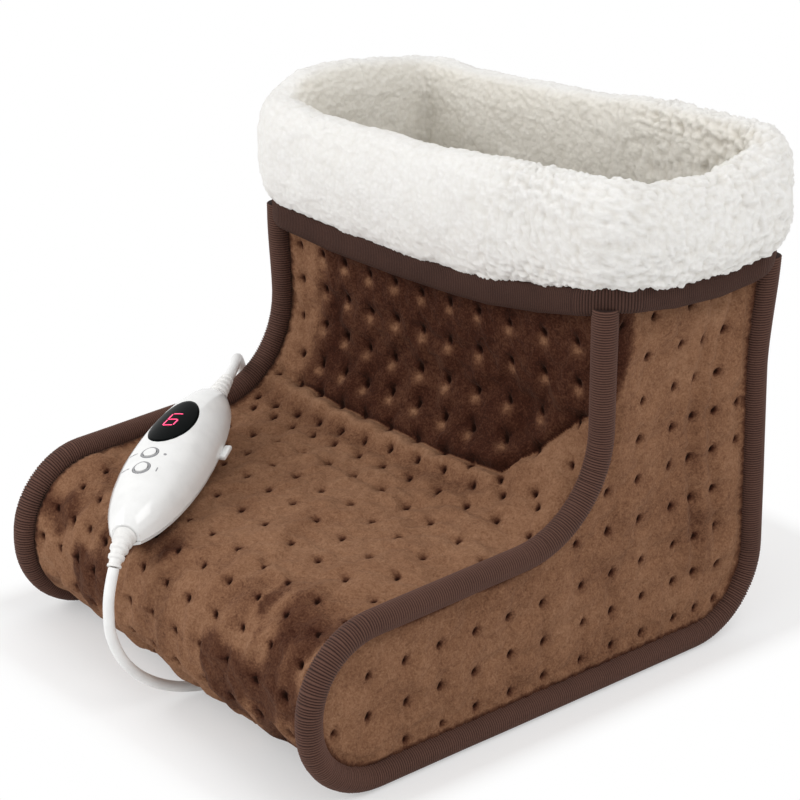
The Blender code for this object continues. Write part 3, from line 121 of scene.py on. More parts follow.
class Shader:
    """The node tree of a material or a world, filled by expressions."""

    def __init__(self, owner: Union[bpy.types.Material, bpy.types.World]) -> None:
        """Empty the owner's tree."""
        owner.use_nodes = True
        self.tree = owner.node_tree
        self.tree.nodes.clear()

    def node(self, kind: str, settings: Optional[dict] = None, inputs: Optional[dict] = None,
             output: Union[int, str] = 0) -> Value:
        """Add a node.

        Args:
            kind: the node's type.
            settings: its own settings, with "stops" for a colour ramp.
            inputs: values or links of its sockets, by name or number.
            output: which of its outputs is wanted.

        Returns:
            The wanted output.
        """
        made = self.tree.nodes.new(kind)
        for name, value in (settings or {}).items():
            if name == "stops":
                self.set_stops(made.color_ramp, value)
            else:
                setattr(made, name, value)
        for name, value in (inputs or {}).items():
            socket = made.inputs[name]
            if isinstance(value, Value):
                self.tree.links.new(value.socket, socket)
            elif isinstance(value, tuple) and socket.type == "RGBA":
                socket.default_value = (*value[:3], 1)
            else:
                socket.default_value = value
        return Value(self, made.outputs[output])

    @staticmethod
    def set_stops(ramp: Any, stops: Sequence[tuple[float, Colour]]) -> None:
        """Give a colour ramp its stops."""
        while len(ramp.elements) < len(stops):
            ramp.elements.new(0.5)
        for element, (place, colour) in zip(ramp.elements, stops):
            element.position = place
            element.color = (*colour, 1)

    def place(self) -> Value:
        """Object coordinates, in metres."""
        return self.node("ShaderNodeTexCoord", output="Object")

    def attribute(self, name: str) -> Value:
        """A number that the mesh keeps at each point."""
        return self.node("ShaderNodeAttribute", {"attribute_name": name}, output="Fac")

    def vector(self, operation: str, first: Value, second: Optional[Colour] = None,
               output: str = "Vector") -> Value:
        """Vector sum of one value and, for most operations, three numbers."""
        inputs = {0: first} if second is None else {0: first, 1: second}
        return self.node("ShaderNodeVectorMath", {"operation": operation}, inputs, output)

    def noise(self, vector: Value, scale: float, detail: float = 2, roughness: float = 0.5,
              distortion: float = 0) -> Value:
        """Noise texture of a given scale per metre."""
        inputs = {"Vector": vector, "Scale": scale, "Detail": detail, "Roughness": roughness,
                  "Distortion": distortion}
        return self.node("ShaderNodeTexNoise", {}, inputs)

    def cells(self, vector: Value, scale: float) -> Value:
        """Distance to the nearest of scattered points."""
        return self.node("ShaderNodeTexVoronoi", {}, {"Vector": vector, "Scale": scale})

    def mix(self, factor: Any, first: Any, second: Any) -> Value:
        """Blend two colours."""
        settings = {"data_type": "RGBA"}
        return self.node("ShaderNodeMix", settings, {0: factor, 6: first, 7: second}, 2)

    def bump(self, height: Value, distance: float) -> Value:
        """Normal that follows a height; distance is the height's span in metres."""
        return self.node("ShaderNodeBump", {}, {"Height": height, "Distance": distance, "Strength": 1.0})

    def principled(self, **inputs: Any) -> Value:
        """Principled shader; underscores in the names of its sockets stand for spaces."""
        named = {key.replace("_", " "): value for key, value in inputs.items()}
        return self.node("ShaderNodeBsdfPrincipled", {}, named)

    def glow(self, kind: str, strength: float = 1.0) -> Value:
        """Even white light of an emission or a background node."""
        return self.node(kind, {}, {"Color": WHITE, "Strength": strength})

    def white_rays(self) -> Value:
        """Rays that see the backdrop as plain white: camera, glossy and transmission."""
        camera, glossy, through = (self.node("ShaderNodeLightPath", output=f"Is {word} Ray")
                                   for word in ("Camera", "Glossy", "Transmission"))
        return (camera + glossy + through).clamped()

    def show(self, surface: Value, output: str = "ShaderNodeOutputMaterial") -> None:
        """Link the surface to the tree's output."""
        target = self.tree.nodes.new(output)
        self.tree.links.new(surface.socket, target.inputs["Surface"])


# ---------------------------------------------------------------- finishes


class Finish:
    """What all finishes share: each has a name and says how its surface is made."""

    name: str

    def surface(self, shader: Shader, place: Value) -> Value:
        """Make the surface.

        Args:
            shader: the tree that it is made in.
            place: object coordinates, in metres.

        Returns:
            The surface's shader.
        """
        raise NotImplementedError

    def material(self) -> bpy.types.Material:
        """Make the material."""
        made = bpy.data.materials.new(self.name)
        shader = Shader(made)
        shader.show(self.surface(shader, shader.place()))
        return made


@dataclass(frozen=True)
class PlushFinish(Finish):
    """Short brown pile whose colour carries painted light and shade: lighter where panels and puffs face the
    lamps, darker on the shin, beside stitches and in creases and pits.
    """

    name: str = "brown_plush"
    # ramp from painted shade to painted light on the brown pile
    stops: tuple[tuple[float, Colour], ...] = (
        (0.00, (0.014, 0.004, 0.002)),
        (0.22, (0.042, 0.013, 0.007)),
        (0.45, (0.104, 0.044, 0.024)),
        (0.68, (0.218, 0.108, 0.059)),
        (1.00, (0.360, 0.205, 0.122)),
    )
    pile_scale: float = 900
    lock_scale: float = 300
    patch_scale: float = 34
    pile_depth: float = 0.0008
    sheen: float = 0.05
    sheen_tint: Colour = (0.85, 0.66, 0.52)

    def surface(self, shader: Shader, place: Value) -> Value:
        """Make the surface."""
        pile = shader.noise(place, self.pile_scale, 2, 0.6)
        lock = shader.noise(place, self.lock_scale, 3, 0.6, 0.6)
        patch = shader.noise(place, self.patch_scale, 3, 0.55)
        # painted light and shade from the mesh, with painted shade in the stitch pits
        nap = shader.attribute("nap") - shader.attribute("hollow") * 0.8
        tone_and_light = nap + (pile - 0.5) * 0.46 + (lock - 0.5) * 0.36 + (patch - 0.5) * 0.24
        colour = shader.node("ShaderNodeValToRGB", {"stops": self.stops}, {0: tone_and_light.clamped()})
        normal = shader.bump(pile * 0.5 + lock * 0.9, self.pile_depth)
        return shader.principled(
            Base_Color=colour, Roughness=0.93, Normal=normal, Sheen_Weight=self.sheen,
            Sheen_Roughness=0.5, Sheen_Tint=self.sheen_tint, Specular_IOR_Level=0.06)


@dataclass(frozen=True)
class TapeFinish(Finish):
    """Dark brown ribbed tape; the ribs are in the mesh and the weave is in the bump, and the colour adds
    painted light on the ribs' ridges and painted shade in their grooves.
    """

    name: str = "dark_brown_tape"
    light: Colour = (0.165, 0.082, 0.060)
    dark: Colour = (0.014, 0.006, 0.005)
    weave_scale: float = 1500

    def surface(self, shader: Shader, place: Value) -> Value:
        """Make the surface."""
        weave = shader.noise(place, self.weave_scale, 2, 0.6)
        wear = shader.noise(place, 60, 3, 0.6)
        # rib is painted light on the ribs' ridges; 0 gives painted shade in the grooves
        rib = shader.attribute("rib")
        tone_and_light = (weave * 0.20 + wear * 0.20 + rib * 0.62 - 0.14).clamped()
        colour = shader.mix(tone_and_light, self.dark, self.light)
        return shader.principled(
            Base_Color=colour, Roughness=0.72 + wear * 0.15, Normal=shader.bump(weave, 0.0003),
            Sheen_Weight=0.03, Sheen_Roughness=0.5, Specular_IOR_Level=0.12)


@dataclass(frozen=True)
class FleeceFinish(Finish):
    """Curly pile white fleece with painted shade: creamier and darker on the roll's inner side and on the
    lining, and darker in the gaps between its curls.
    """

    name: str = "white_fleece"
    light: Colour = (0.860, 0.850, 0.830)
    # painted shade colour of the roll's inner side and the lining
    cream: Colour = (0.800, 0.765, 0.690)
    # painted shade colour for the gaps between curls
    hollow: Colour = (0.600, 0.555, 0.475)
    curl_scale: float = 300

    def surface(self, shader: Shader, place: Value) -> Value:
        """Make the surface."""
        curl = shader.cells(place, self.curl_scale)
        strand = shader.noise(place, 1100, 3, 0.6, 1.2)
        warm = shader.noise(place, 26, 2, 0.5)
        # random warm tone plus the painted shade of the inner side
        warm_tone_and_shade = (shader.attribute("cream") + (warm - 0.5) * 0.30).clamped()
        ground = shader.mix(warm_tone_and_shade, self.light, self.cream)
        # painted shade: darker in the gaps between curls and away from each curl's middle
        depth = (shader.attribute("hollow") * 0.62 + (curl - 0.35) * 0.22).clamped()
        colour = shader.mix(depth, ground, self.hollow)
        normal = shader.bump(strand * 0.5 + (1 - curl) * 0.7, 0.0008)
        return shader.principled(
            Base_Color=colour, Roughness=0.95, Normal=normal, Sheen_Weight=0.25,
            Sheen_Roughness=0.5, Sheen_Tint=(1.0, 0.98, 0.95), Specular_IOR_Level=0.1)


@dataclass(frozen=True)
class PlasticFinish(Finish):
    """Moulded plastic with faint unevenness and light handling marks."""

    name: str
    colour: Colour
    roughness: float = 0.25
    grain: float = 0.00002
    grain_scale: float = 900
    coat: float = 0
    shine: float = 0.5

    def surface(self, shader: Shader, place: Value) -> Value:
        """Make the surface."""
        grain = shader.noise(place, self.grain_scale, 2, 0.5)
        haze = shader.noise(place, 70, 3, 0.6)
        shade = tuple(channel * 0.93 for channel in self.colour)
        colour = shader.mix(haze.ramp(0.35, 0.75), self.colour, shade)
        return shader.principled(
            Base_Color=colour, Roughness=self.roughness + (haze - 0.5) * 0.12,
            Normal=shader.bump(grain, self.grain), Coat_Weight=self.coat, Coat_Roughness=0.06,
            Specular_IOR_Level=self.shine)


@dataclass(frozen=True)
class MetalFinish(Finish):
    """Plain metal with fine turning marks."""

    name: str
    colour: Colour
    roughness: float = 0.3

    def surface(self, shader: Shader, place: Value) -> Value:
        """Make the surface."""
        mark = shader.noise(shader.vector("MULTIPLY", place, (300, 300, 2500)), 1, 2, 0.5)
        return shader.principled(
            Base_Color=self.colour, Metallic=1.0, Roughness=self.roughness + mark * 0.15,
            Normal=shader.bump(mark, 0.00002))


@dataclass(frozen=True)
class ClothFinish(Finish):
    """Plain woven or felted layer inside the boot and under its sole."""

    name: str
    colour: Colour
    thread_scale: float = 1100

    def surface(self, shader: Shader, place: Value) -> Value:
        """Make the surface."""
        thread = shader.noise(place, self.thread_scale, 2, 0.6)
        fade = shader.noise(place, 40, 3, 0.6)
        shade = tuple(channel * 0.7 for channel in self.colour)
        colour = shader.mix((thread * 0.6 + fade * 0.5).ramp(0.3, 0.8), shade, self.colour)
        return shader.principled(
            Base_Color=colour, Roughness=0.9, Normal=shader.bump(thread, 0.0004), Specular_IOR_Level=0.2)


@dataclass(frozen=True)
class DisplayFinish(Finish):
    """Lit segments of the number display."""

    name: str = "display_red"
    colour: Colour = (0.90, 0.03, 0.16)
    glow: float = 1.1

    def surface(self, shader: Shader, place: Value) -> Value:
        """Make the surface."""
        cell = shader.noise(place, 1200, 1, 0.5)
        colour = shader.mix(cell * 0.25, self.colour, (1.0, 0.25, 0.35))
        return shader.principled(
            Base_Color=colour, Roughness=0.3, Emission_Color=colour, Emission_Strength=self.glow)


@dataclass(frozen=True)
class FloorFinish(Finish):
    """White studio floor that keeps the object's shadow and fades into the white backdrop."""

    name: str = "studio_floor"
    colour: Colour = (0.96, 0.96, 0.96)
    middle: Colour = (0.0, 0.040, 0.0)
    half: Colour = (0.155, 0.220, 1.0)
    clear: float = -0.016
    faded: float = 0.022

    def surface(self, shader: Shader, place: Value) -> Value:
        """Make the surface."""
        step = shader.vector("ABSOLUTE", shader.vector("SUBTRACT", place, self.middle))
        step = shader.vector("MAXIMUM", shader.vector("SUBTRACT", step, self.half), (0.0, 0.0, 0.0))
        far = shader.vector("LENGTH", step, output="Value").ramp(self.clear, self.faded)
        speck = shader.noise(place, 300, 2, 0.5)
        tint = shader.mix(speck * 0.1, self.colour, (0.94, 0.94, 0.94))
        near = shader.principled(Base_Color=tint, Roughness=0.9, Specular_IOR_Level=0.0)
        inputs = {0: far * shader.white_rays(), 1: near, 2: shader.glow("ShaderNodeEmission")}
        return shader.node("ShaderNodeMixShader", {}, inputs)


# ---------------------------------------------------------------- meshes


def add_item(name: str, data: bpy.types.ID) -> bpy.types.Object:
    """Make an object of some data and link it to the scene."""
    item = bpy.data.objects.new(name, data)
    bpy.context.scene.collection.objects.link(item)
    return item


def raw_mesh(name: str, points: Points, faces: Iterable[Sequence[int]]) -> bpy.types.Mesh:
    """Make plain mesh data."""
    mesh = bpy.data.meshes.new(name)
    numbers = [tuple(int(v) for v in face) for face in faces]
    mesh.from_pydata(np.asarray(points, float).tolist(), [], numbers)
    return mesh


def new_mesh(name: str, points: Points, faces: Iterable[Sequence[int]], material: bpy.types.Material,
             smooth: bool = True, **attributes: Points) -> bpy.types.Object:
    """Make a mesh object.

    Args:
        name: the piece's name.
        points: its points, in metres.
        faces: point numbers of each face.
        material: its finish.
        smooth: whether its faces shade smoothly.
        attributes: numbers kept at each point.

    Returns:
        The object, linked to the scene.
    """
    mesh = raw_mesh(name, points, faces)
    mesh.validate()
    mesh.polygons.foreach_set("use_smooth", [smooth] * len(mesh.polygons))
    for key, values in attributes.items():
        layer = mesh.attributes.new(key, "FLOAT", "POINT")
        layer.data.foreach_set("value", np.asarray(values, np.float32))
    mesh.materials.append(material)
    return add_item(name, mesh)


def dress(item: bpy.types.Object, nodes: Sequence[str] = ()) -> bpy.types.Object:
    """Let a piece ride on the boot and stand for CAD nodes."""
    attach(item, BODY)
    if nodes:
        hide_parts(*nodes)
    LOG.info("%s: %d points", item.name, len(getattr(item.data, "vertices", ())))
    return item


def grid_faces(rows: int, columns: int, wrap_rows: bool = False, wrap_columns: bool = False) -> Points:
    """Faces of a grid whose points run along its columns first."""
    faces = []
    for row in range(rows if wrap_rows else rows - 1):
        for column in range(columns if wrap_columns else columns - 1):
            below, right = (row + 1) % rows, (column + 1) % columns
            faces.append((row * columns + column, row * columns + right,
                          below * columns + right, below * columns + column))
    return np.array(faces)


def as_rows(vectors: Iterable[Sequence[float]]) -> Points:
    """Array with one row for each vector."""
    return np.array([tuple(vector) for vector in vectors])


def unit(vectors: Points) -> Points:
    """Each row at length 1."""
    return vectors / np.linalg.norm(vectors, axis=1)[:, None]


def ways(line: Points) -> Points:
    """Way along a line to each of its points."""
    return np.concatenate([[0], np.cumsum(np.linalg.norm(np.diff(line, axis=0), axis=1))])


def length_of(line: Points) -> float:
    """Length of a line."""
    return float(np.linalg.norm(np.diff(line, axis=0), axis=1).sum())


def around(points: Points) -> Points:
    """Direction of a closed line at each of its points, unscaled."""
    return np.roll(points, -1, axis=0) - np.roll(points, 1, axis=0)


def oval(half: Sequence[float], count: int) -> Points:
    """Flat oval round the origin."""
    angles = np.linspace(0, 2 * math.pi, count + 1)[:-1]
    return np.stack([half[0] * np.cos(angles), half[1] * np.sin(angles)], 1)


def oblong(half: Sequence[float]) -> Points:
    """Flat oblong round the origin."""
    across, up = half
    return np.array([(-across, -up), (across, -up), (across, up), (-across, up)])


def resample(points: Points, step: float, closed: bool = False) -> Points:
    """Spread points evenly along a line."""
    line = np.asarray(points, float)
    if closed:
        line = np.vstack([line, line[:1]])
    lengths = ways(line)
    count = max(2, int(round(lengths[-1] / step)))
    wanted = np.linspace(0, lengths[-1], count + 1)
    result = np.stack([np.interp(wanted, lengths, line[:, axis]) for axis in range(line.shape[1])], 1)
    return result[:-1] if closed else result


def rounded(corners: Sequence[tuple[float, float, float]], steps: int = 12) -> Points:
    """Points of an open outline from its corners, each (across, up, radius)."""
    points: list[Vector] = []
    for index, (across, up, radius) in enumerate(corners):
        here = Vector((across, up))
        if radius == 0:
            points.append(here)
            continue
        back = (Vector(corners[index - 1][:2]) - here).normalized()
        ahead = (Vector(corners[index + 1][:2]) - here).normalized()
        half = back.angle(ahead) / 2
        centre = here + (back + ahead).normalized() * radius / math.sin(half)
        spoke = here + back * radius / math.tan(half) - centre
        turn = math.copysign(math.pi - 2 * half, ahead.x * back.y - ahead.y * back.x)
        for count in range(steps + 1):
            points.append(centre + Matrix.Rotation(turn * count / steps, 2) @ spoke)
    return as_rows(points)


def inside(points: Points, outline: Points) -> Points:
    """Which flat points lie inside a closed outline."""
    result = np.zeros(len(points), bool)
    x, y = points[:, 0], points[:, 1]
    for (ax, ay), (bx, by) in zip(outline, np.roll(outline, -1, axis=0)):
        if ay == by:
            continue
        crosses = (ay > y) != (by > y)
        result ^= crosses & (x < (bx - ax) * (y - ay) / (by - ay) + ax)
    return result


def distance_to_line(points: Points, line: Points, closed: bool = False) -> Points:
    """Distance of each point to a line through given points."""
    ends = np.roll(line, -1, axis=0) if closed else line[1:]
    starts = line if closed else line[:-1]
    best = np.full(len(points), np.inf)
    for start, end in zip(starts, ends):
        run = end - start
        share = np.clip((points - start) @ run / max(run @ run, 1e-12), 0, 1)
        best = np.minimum(best, np.linalg.norm(points - start - share[:, None] * run, axis=1))
    return best


def scatter(cells: Points, seed: int) -> Points:
    """Three steady random numbers from 0 to 1 for each whole-number cell."""
    x, y, z = (cells[:, axis].astype(np.int64) for axis in range(3))
    mixed = (x * 73856093) ^ (y * 19349663) ^ (z * 83492791) ^ (seed * 2654435761)
    result = []
    for factor in (0x45D9F3B, 0x119DE1F3, 0x2C1B3C6D):
        value = (mixed * factor) & 0xFFFFFFFF
        value = ((value >> 16) ^ value) * 0x45D9F3B & 0xFFFFFFFF
        value = (value >> 16) ^ value
        result.append((value & 0xFFFFFF) / float(0x1000000))
    return np.stack(result, 1)


def soft_noise(points: Points, size: float, seed: int) -> Points:
    """Smooth noise from -1 to 1 with features of a given size in metres."""
    grid = points / size
    base = np.floor(grid)
    share = grid - base
    share = share * share * (3 - 2 * share)
    total = np.zeros(len(points))
    for corner in np.ndindex(2, 2, 2):
        weight = np.prod(np.where(np.array(corner) == 1, share, 1 - share), axis=1)
        total += weight * (scatter(base + np.array(corner), seed)[:, 0] * 2 - 1)
    return total


def warped(points: Points, size: float, amount: float, seed: int) -> Points:
    """Points moved a little by three smooth noises."""
    return points + amount * np.stack([soft_noise(points, size, seed + axis) for axis in range(3)], 1)


def curl_height(points: Points, size: float, seed: int) -> Points:
    """Height from 0 to 1 of rounded lumps, like curls of fleece, of a given size."""
    grid = points / size
    base = np.floor(grid)
    near = np.full(len(points), 9.0)
    for step in np.ndindex(3, 3, 3):
        cell = base + np.array(step) - 1
        spot = cell + 0.15 + 0.7 * scatter(cell, seed)
        near = np.minimum(near, np.linalg.norm(grid - spot, axis=1))
    return np.clip(1 - (near / 0.85) ** 2, 0, 1)


def point_normals(points: Points, faces: Points) -> Points:
    """Unit normals at the points of a mesh of quads or triangles."""
    corners = points[faces]
    across = corners[:, 2] - corners[:, 0]
    along = (corners[:, 3] if faces.shape[1] == 4 else corners[:, 2]) - corners[:, 1]
    flat = np.cross(across, along)
    result = np.zeros_like(points)
    for corner in range(faces.shape[1]):
        np.add.at(result, faces[:, corner], flat)
    return result / np.maximum(np.linalg.norm(result, axis=1), 1e-12)[:, None]


# ---------------------------------------------------------------- boot outline


# heights round the mouth, as (angle in degrees, metres over the seam's hem)
BAND_WAVE = (
    (-180, 0.0012), (-150, 0.0012), (-138, 0.0022), (-129, -0.0006), (-118, -0.0040), (-100, -0.0056),
    (-80, -0.0052), (-70, -0.0040), (-58, 0.0008), (-50, 0.0066), (-44, 0.0094), (-34, 0.0072),
    (-17, 0.0034), (13, 0.0014), (32, 0.0032), (44, 0.0066), (60, 0.0030), (90, -0.0010),
    (120, 0.0), (136, 0.0036), (150, 0.0022), (180, 0.0012),
)
CREST = (
    (-180, 0.0758), (-165, 0.0762), (-150, 0.0744), (-140, 0.0686), (-130, 0.0640), (-117, 0.0620),
    (-102, 0.0616), (-76, 0.0638), (-62, 0.0658), (-51, 0.0680), (-42, 0.0685), (-31, 0.0648),
    (-16, 0.0614), (5, 0.0600), (18, 0.0618), (30, 0.0668), (38, 0.0712), (47, 0.0730),
    (56, 0.0742), (72, 0.0730), (98, 0.0694), (118, 0.0676), (133, 0.0676), (150, 0.0706), (180, 0.0758),
)
FLARE = 0.0080
DRAWN_IN = 0.0044
DRAWN_BACK = 0.0080


def soft_step(values: Points, low: float, high: float) -> Points:
    """Smooth change from 0 at low to 1 at high."""
    share = np.clip((values - low) / (high - low), 0, 1)
    return share * share * (3 - 2 * share)


def settled(points: Points) -> Points:
    """Lean the shaft's back outward and draw the toe's left side in, as the soft boot stands."""
    moved = np.array(points, float)
    rise = soft_step(moved[:, 2], 0.155, 0.230)
    moved[:, 1] += FLARE * rise * np.clip((moved[:, 1] - 0.040) / 0.110, 0, 1.1)
    left = soft_step(-moved[:, 0], 0.010, 0.120) * (1 - soft_step(moved[:, 2], 0.150, 0.200))
    toe = soft_step(-moved[:, 1], 0.020, 0.150)
    moved[:, 1] += DRAWN_BACK * toe * soft_step(-moved[:, 0], -0.020, 0.130)
    moved[:, 0] += DRAWN_IN * left * soft_step(-moved[:, 1], -0.085, 0.0)
    return moved


@dataclass(frozen=True)
class SeamLine:
    """Side view of the boot's seams: across is the boot's Y and up its Z."""

    half_width: float = 0.135
    front_y: float = -0.15555
    shin_y: float = 0.03795
    back_y: float = 0.15075
    heel_y: float = 0.15625
    seam_z: float = 0.0066
    toe_height: float = 0.0846
    instep_height: float = 0.0903
    instep_radius: float = 0.0564
    heel_radius: float = 0.0433
    nose_radius: float = 0.041454
    run_share: float = 1.06
    hem_height: float = 0.208
    hem_lean: float = 0.05
    tape_width: float = 0.013
    mouth_y: float = 0.095
    mouth_half: tuple[float, float] = (0.145, 0.060)

    def hem(self, x: Any) -> Any:
        """Height of the hem tape's middle at a place across the boot."""
        return self.hem_height + self.hem_lean * x

    def band(self, points: Points) -> Points:
        """Height of the hem tape's middle, which sags in front and rises at its corners."""
        return self.round_mouth(points, BAND_WAVE)

    def crest(self, points: Points) -> Points:
        """Height of the cuff's crest round the top edge."""
        return self.round_mouth(points, CREST)

    def round_mouth(self, points: Points, table: Sequence[tuple[float, float]]) -> Points:
        """Height over the floor that a table of heights round the mouth gives at some points."""
        across, back = self.mouth_half
        angle = np.degrees(np.arctan2((points[:, 1] - self.mouth_y) / back, points[:, 0] / across))
        return self.hem(points[:, 0]) + np.interp(angle, *np.array(table).T)

    def front_corners(self, top: float) -> list[tuple[float, float, float]]:
        """Corners from the shin's top, over the instep and round the nose."""
        return [(self.shin_y, top, 0), (self.shin_y, self.seam_z + self.instep_height, self.instep_radius),
                (self.front_y, self.seam_z + self.toe_height, self.nose_radius),
                (self.front_y, self.seam_z, self.nose_radius)]

    def back_corners(self, top: float) -> list[tuple[float, float, float]]:
        """Corners from the heel's round up the back."""
        return [(self.heel_y, self.seam_z, self.heel_radius), (self.back_y, top - self.tape_width, 0),
                (self.back_y, top, 0)]

    def sole_front(self) -> float:
        """Where the sole panel starts."""
        return self.front_y + self.nose_radius * self.run_share

    def sole_back(self) -> float:
        """Where the sole panel ends."""
        return self.heel_y - self.heel_radius * self.run_share

    def front(self, top: float) -> Points:
        """Seam line of the front strip."""
        return rounded(self.front_corners(top) + [(self.sole_front(), self.seam_z, 0)])

    def back(self, top: float) -> Points:
        """Seam line of the back strip."""
        return rounded([(self.sole_back(), self.seam_z, 0)] + self.back_corners(top))

    def outline(self, top: float) -> Points:
        """Closed outline of a side."""
        return rounded(self.front_corners(top) + self.back_corners(top))


def inset_outline(line: Points, distance: float) -> Points:
    """Move a line towards its left by a distance."""
    runs = unit(np.diff(line, axis=0))
    sides = np.stack([-runs[:, 1], runs[:, 0]], 1)
    first = np.vstack([sides[:1], sides])
    second = np.vstack([sides, sides[-1:]])
    middle = unit(first + second)
    return line + middle * (distance / np.sum(middle * first, axis=1))[:, None]


# ---------------------------------------------------------------- quilted plush


@dataclass
class Sheet:
    """One layer of cloth before it is thickened."""

    points: Points
    normals: Points
    flat: Points
    faces: Points
    edge: list[int]

    def shell(self, name: str, outer: Points, inner: Points, material: bpy.types.Material,
              **attributes: Points) -> bpy.types.Object:
        """Close the cloth into a thin solid.

        Args:
            name: the piece's name.
            outer: places of the outer face's points.
            inner: places of the inner face's points.
            material: its finish.
            attributes: numbers kept at the points of both faces.

        Returns:
            The piece.
        """
        count = len(self.points)
        faces = [tuple(face) for face in self.faces]
        faces += [tuple(face[::-1] + count) for face in self.faces]
        for start, end in zip(self.edge, self.edge[1:] + self.edge[:1]):
            faces.append((start, start + count, end + count, end))
        both = {key: np.concatenate([values, values]) for key, values in attributes.items()}
        item = new_mesh(name, np.vstack([outer, inner]), faces, material, True, **both)
        fix_normals(item)
        return item


@dataclass(frozen=True)
class SideWall:
    """Upright plane of a side layer; flat coordinates are the boot's Y and Z."""

    x: float

    def place(self, flat: Points) -> tuple[Points, Points]:
        """Places on the boot of flat points, and the outward normals there."""
        points = np.column_stack([np.full(len(flat), self.x), flat])
        return points, np.tile((math.copysign(1.0, self.x), 0.0, 0.0), (len(flat), 1))


@dataclass(frozen=True)
class Strip:
    """Face that follows a side-view line; flat coordinates are the boot's X and the way along the line."""

    line: Points
    offset: float
    zero: float = 0.0

    def place(self, flat: Points) -> tuple[Points, Points]:
        """Places on the boot of flat points, and the outward normals there."""
        fine = resample(self.line, 0.0007)
        lengths = ways(fine) - self.zero
        level = inset_outline(fine, self.offset)
        runs = unit(np.gradient(level, axis=0))
        y, z, out_y, out_z = (np.interp(flat[:, 1], lengths, values) for values in
                              (level[:, 0], level[:, 1], runs[:, 1], -runs[:, 0]))
        return np.column_stack([flat[:, 0], y, z]), np.column_stack([np.zeros(len(flat)), out_y, out_z])

    def reach(self) -> float:
        """Where the line ends."""
        return length_of(self.line) - self.zero


STITCH_CLEAR = 0.0036
STITCH_RINGS = ((0.0009, 6), (0.0018, 8), (0.0029, 10))
CREASE_CLEAR = 0.0040
CREASE_RAILS = (-0.0030, -0.0016, -0.0006, 0.0004, 0.0016, 0.0030)
RAIL_STEP = 0.0015


def spread(wall: Union[SideWall, Strip], outline: Points, spots: Points, step: float,
           creases: Sequence[Points] = ()) -> Sheet:
    """Fill a flat outline with points, closer round each stitch and along creases, and lay it on its wall.

    Args:
        wall: what the cloth lies on.
        outline: its border in flat coordinates, counter-clockwise.
        spots: flat places of the stitches.
        step: distance between its points.
        creases: lines that need closer points.

    Returns:
        The sheet.
    """
    border = resample(outline, step, True)
    low, high = border.min(0), border.max(0)
    fill = []
    for number, up in enumerate(np.arange(low[1], high[1], step * math.sqrt(3) / 2)):
        across = np.arange(low[0] + 0.5 * step * (number % 2), high[0], step)
        fill.append(np.column_stack([across, np.full(len(across), up)]))
    fill = np.vstack(fill)
    fill = fill[inside(fill, border)]
    fill = fill[distance_to_line(fill, border, True) > step * 0.6]
    for spot in spots:
        fill = fill[np.linalg.norm(fill - spot, axis=1) > STITCH_CLEAR]
    rings = [spots] if len(spots) else []
    for crease in creases:
        fill = fill[distance_to_line(fill, crease) > CREASE_CLEAR]
        for shift in CREASE_RAILS:
            rail = resample(crease + np.array([0.0, shift]), RAIL_STEP)
            rail = rail[inside(rail, border) & (distance_to_line(rail, border, True) > step * 0.6)]
            clear = np.min(np.linalg.norm(rail[:, None] - spots[None], axis=2), axis=1) > STITCH_CLEAR
            rings.append(rail[clear])
    for radius, count in STITCH_RINGS if len(spots) else ():
        for index in range(count):
            angle = 2 * math.pi * (index + 0.5 * (count == 8)) / count
            rings.append(spots + radius * np.array([math.cos(angle), math.sin(angle)]))
    flat = np.vstack([border, fill, *rings])
    edges = [(index, (index + 1) % len(border)) for index in range(len(border))]
    found = delaunay_2d_cdt([Vector(point) for point in flat], edges, [], 1, 1e-7)
    flat = as_rows(found[0])
    faces = np.array(found[2])
    points, normals = wall.place(flat)
    if np.mean(np.sum(point_normals(points, faces) * normals, axis=1)) < 0:
        faces = faces[:, ::-1]
    return Sheet(points, normals, flat, faces, edge_loop(faces))


def fix_normals(item: bpy.types.Object) -> None:
    """Turn a closed mesh's faces outward."""
    form = bmesh.new()
    form.from_mesh(item.data)
    bmesh.ops.recalc_face_normals(form, faces=form.faces)
    form.to_mesh(item.data)
    form.free()


def edge_loop(faces: Points) -> list[int]:
    """Point numbers round the border of a sheet, in order."""
    seen: dict[tuple[int, int], int] = {}
    for face in faces:
        for start, end in zip(face, np.roll(face, -1)):
            seen[(int(start), int(end))] = 1
    following = {start: end for start, end in seen if (end, start) not in seen}
    first = next(iter(following))
    loop, here = [first], following[first]
    while here != first:
        loop.append(here)
        here = following[here]
    return loop


@dataclass(frozen=True)
class Fold:
    """A crease pressed into the cloth along a line of flat coordinates."""

    line: tuple[tuple[float, float], ...]
    depth: float = 0.004
    width: float = 0.009
    shoulder: float = 0.25
    crisp: bool = False

    def height(self, flat: Points) -> Points:
        """Height of the crease at flat points, negative in the crease and raised beside it."""
        far = distance_to_line(flat, np.array(self.line)) / self.width
        beside = self.shoulder * np.exp(-((far - 1.9) / 0.8) ** 2)
        return self.depth * (beside - np.exp(-far ** 2))


@dataclass(frozen=True)
class StitchRow:
    """A row of spot stitches across a strip; lean and bow shift it along the strip."""

    along: float
    start: float
    pitch: float = 0.0232
    lean: float = 0.0
    bow: float = 0.0

    def spots(self) -> list[tuple[float, float]]:
        """Flat places of its stitches."""
        result = []
        for count in range(-7, 8):
            across = self.start + self.pitch * count + 0.0003 * count * count
            result.append((across, self.along + self.lean * across + self.bow * across * across))
        return result


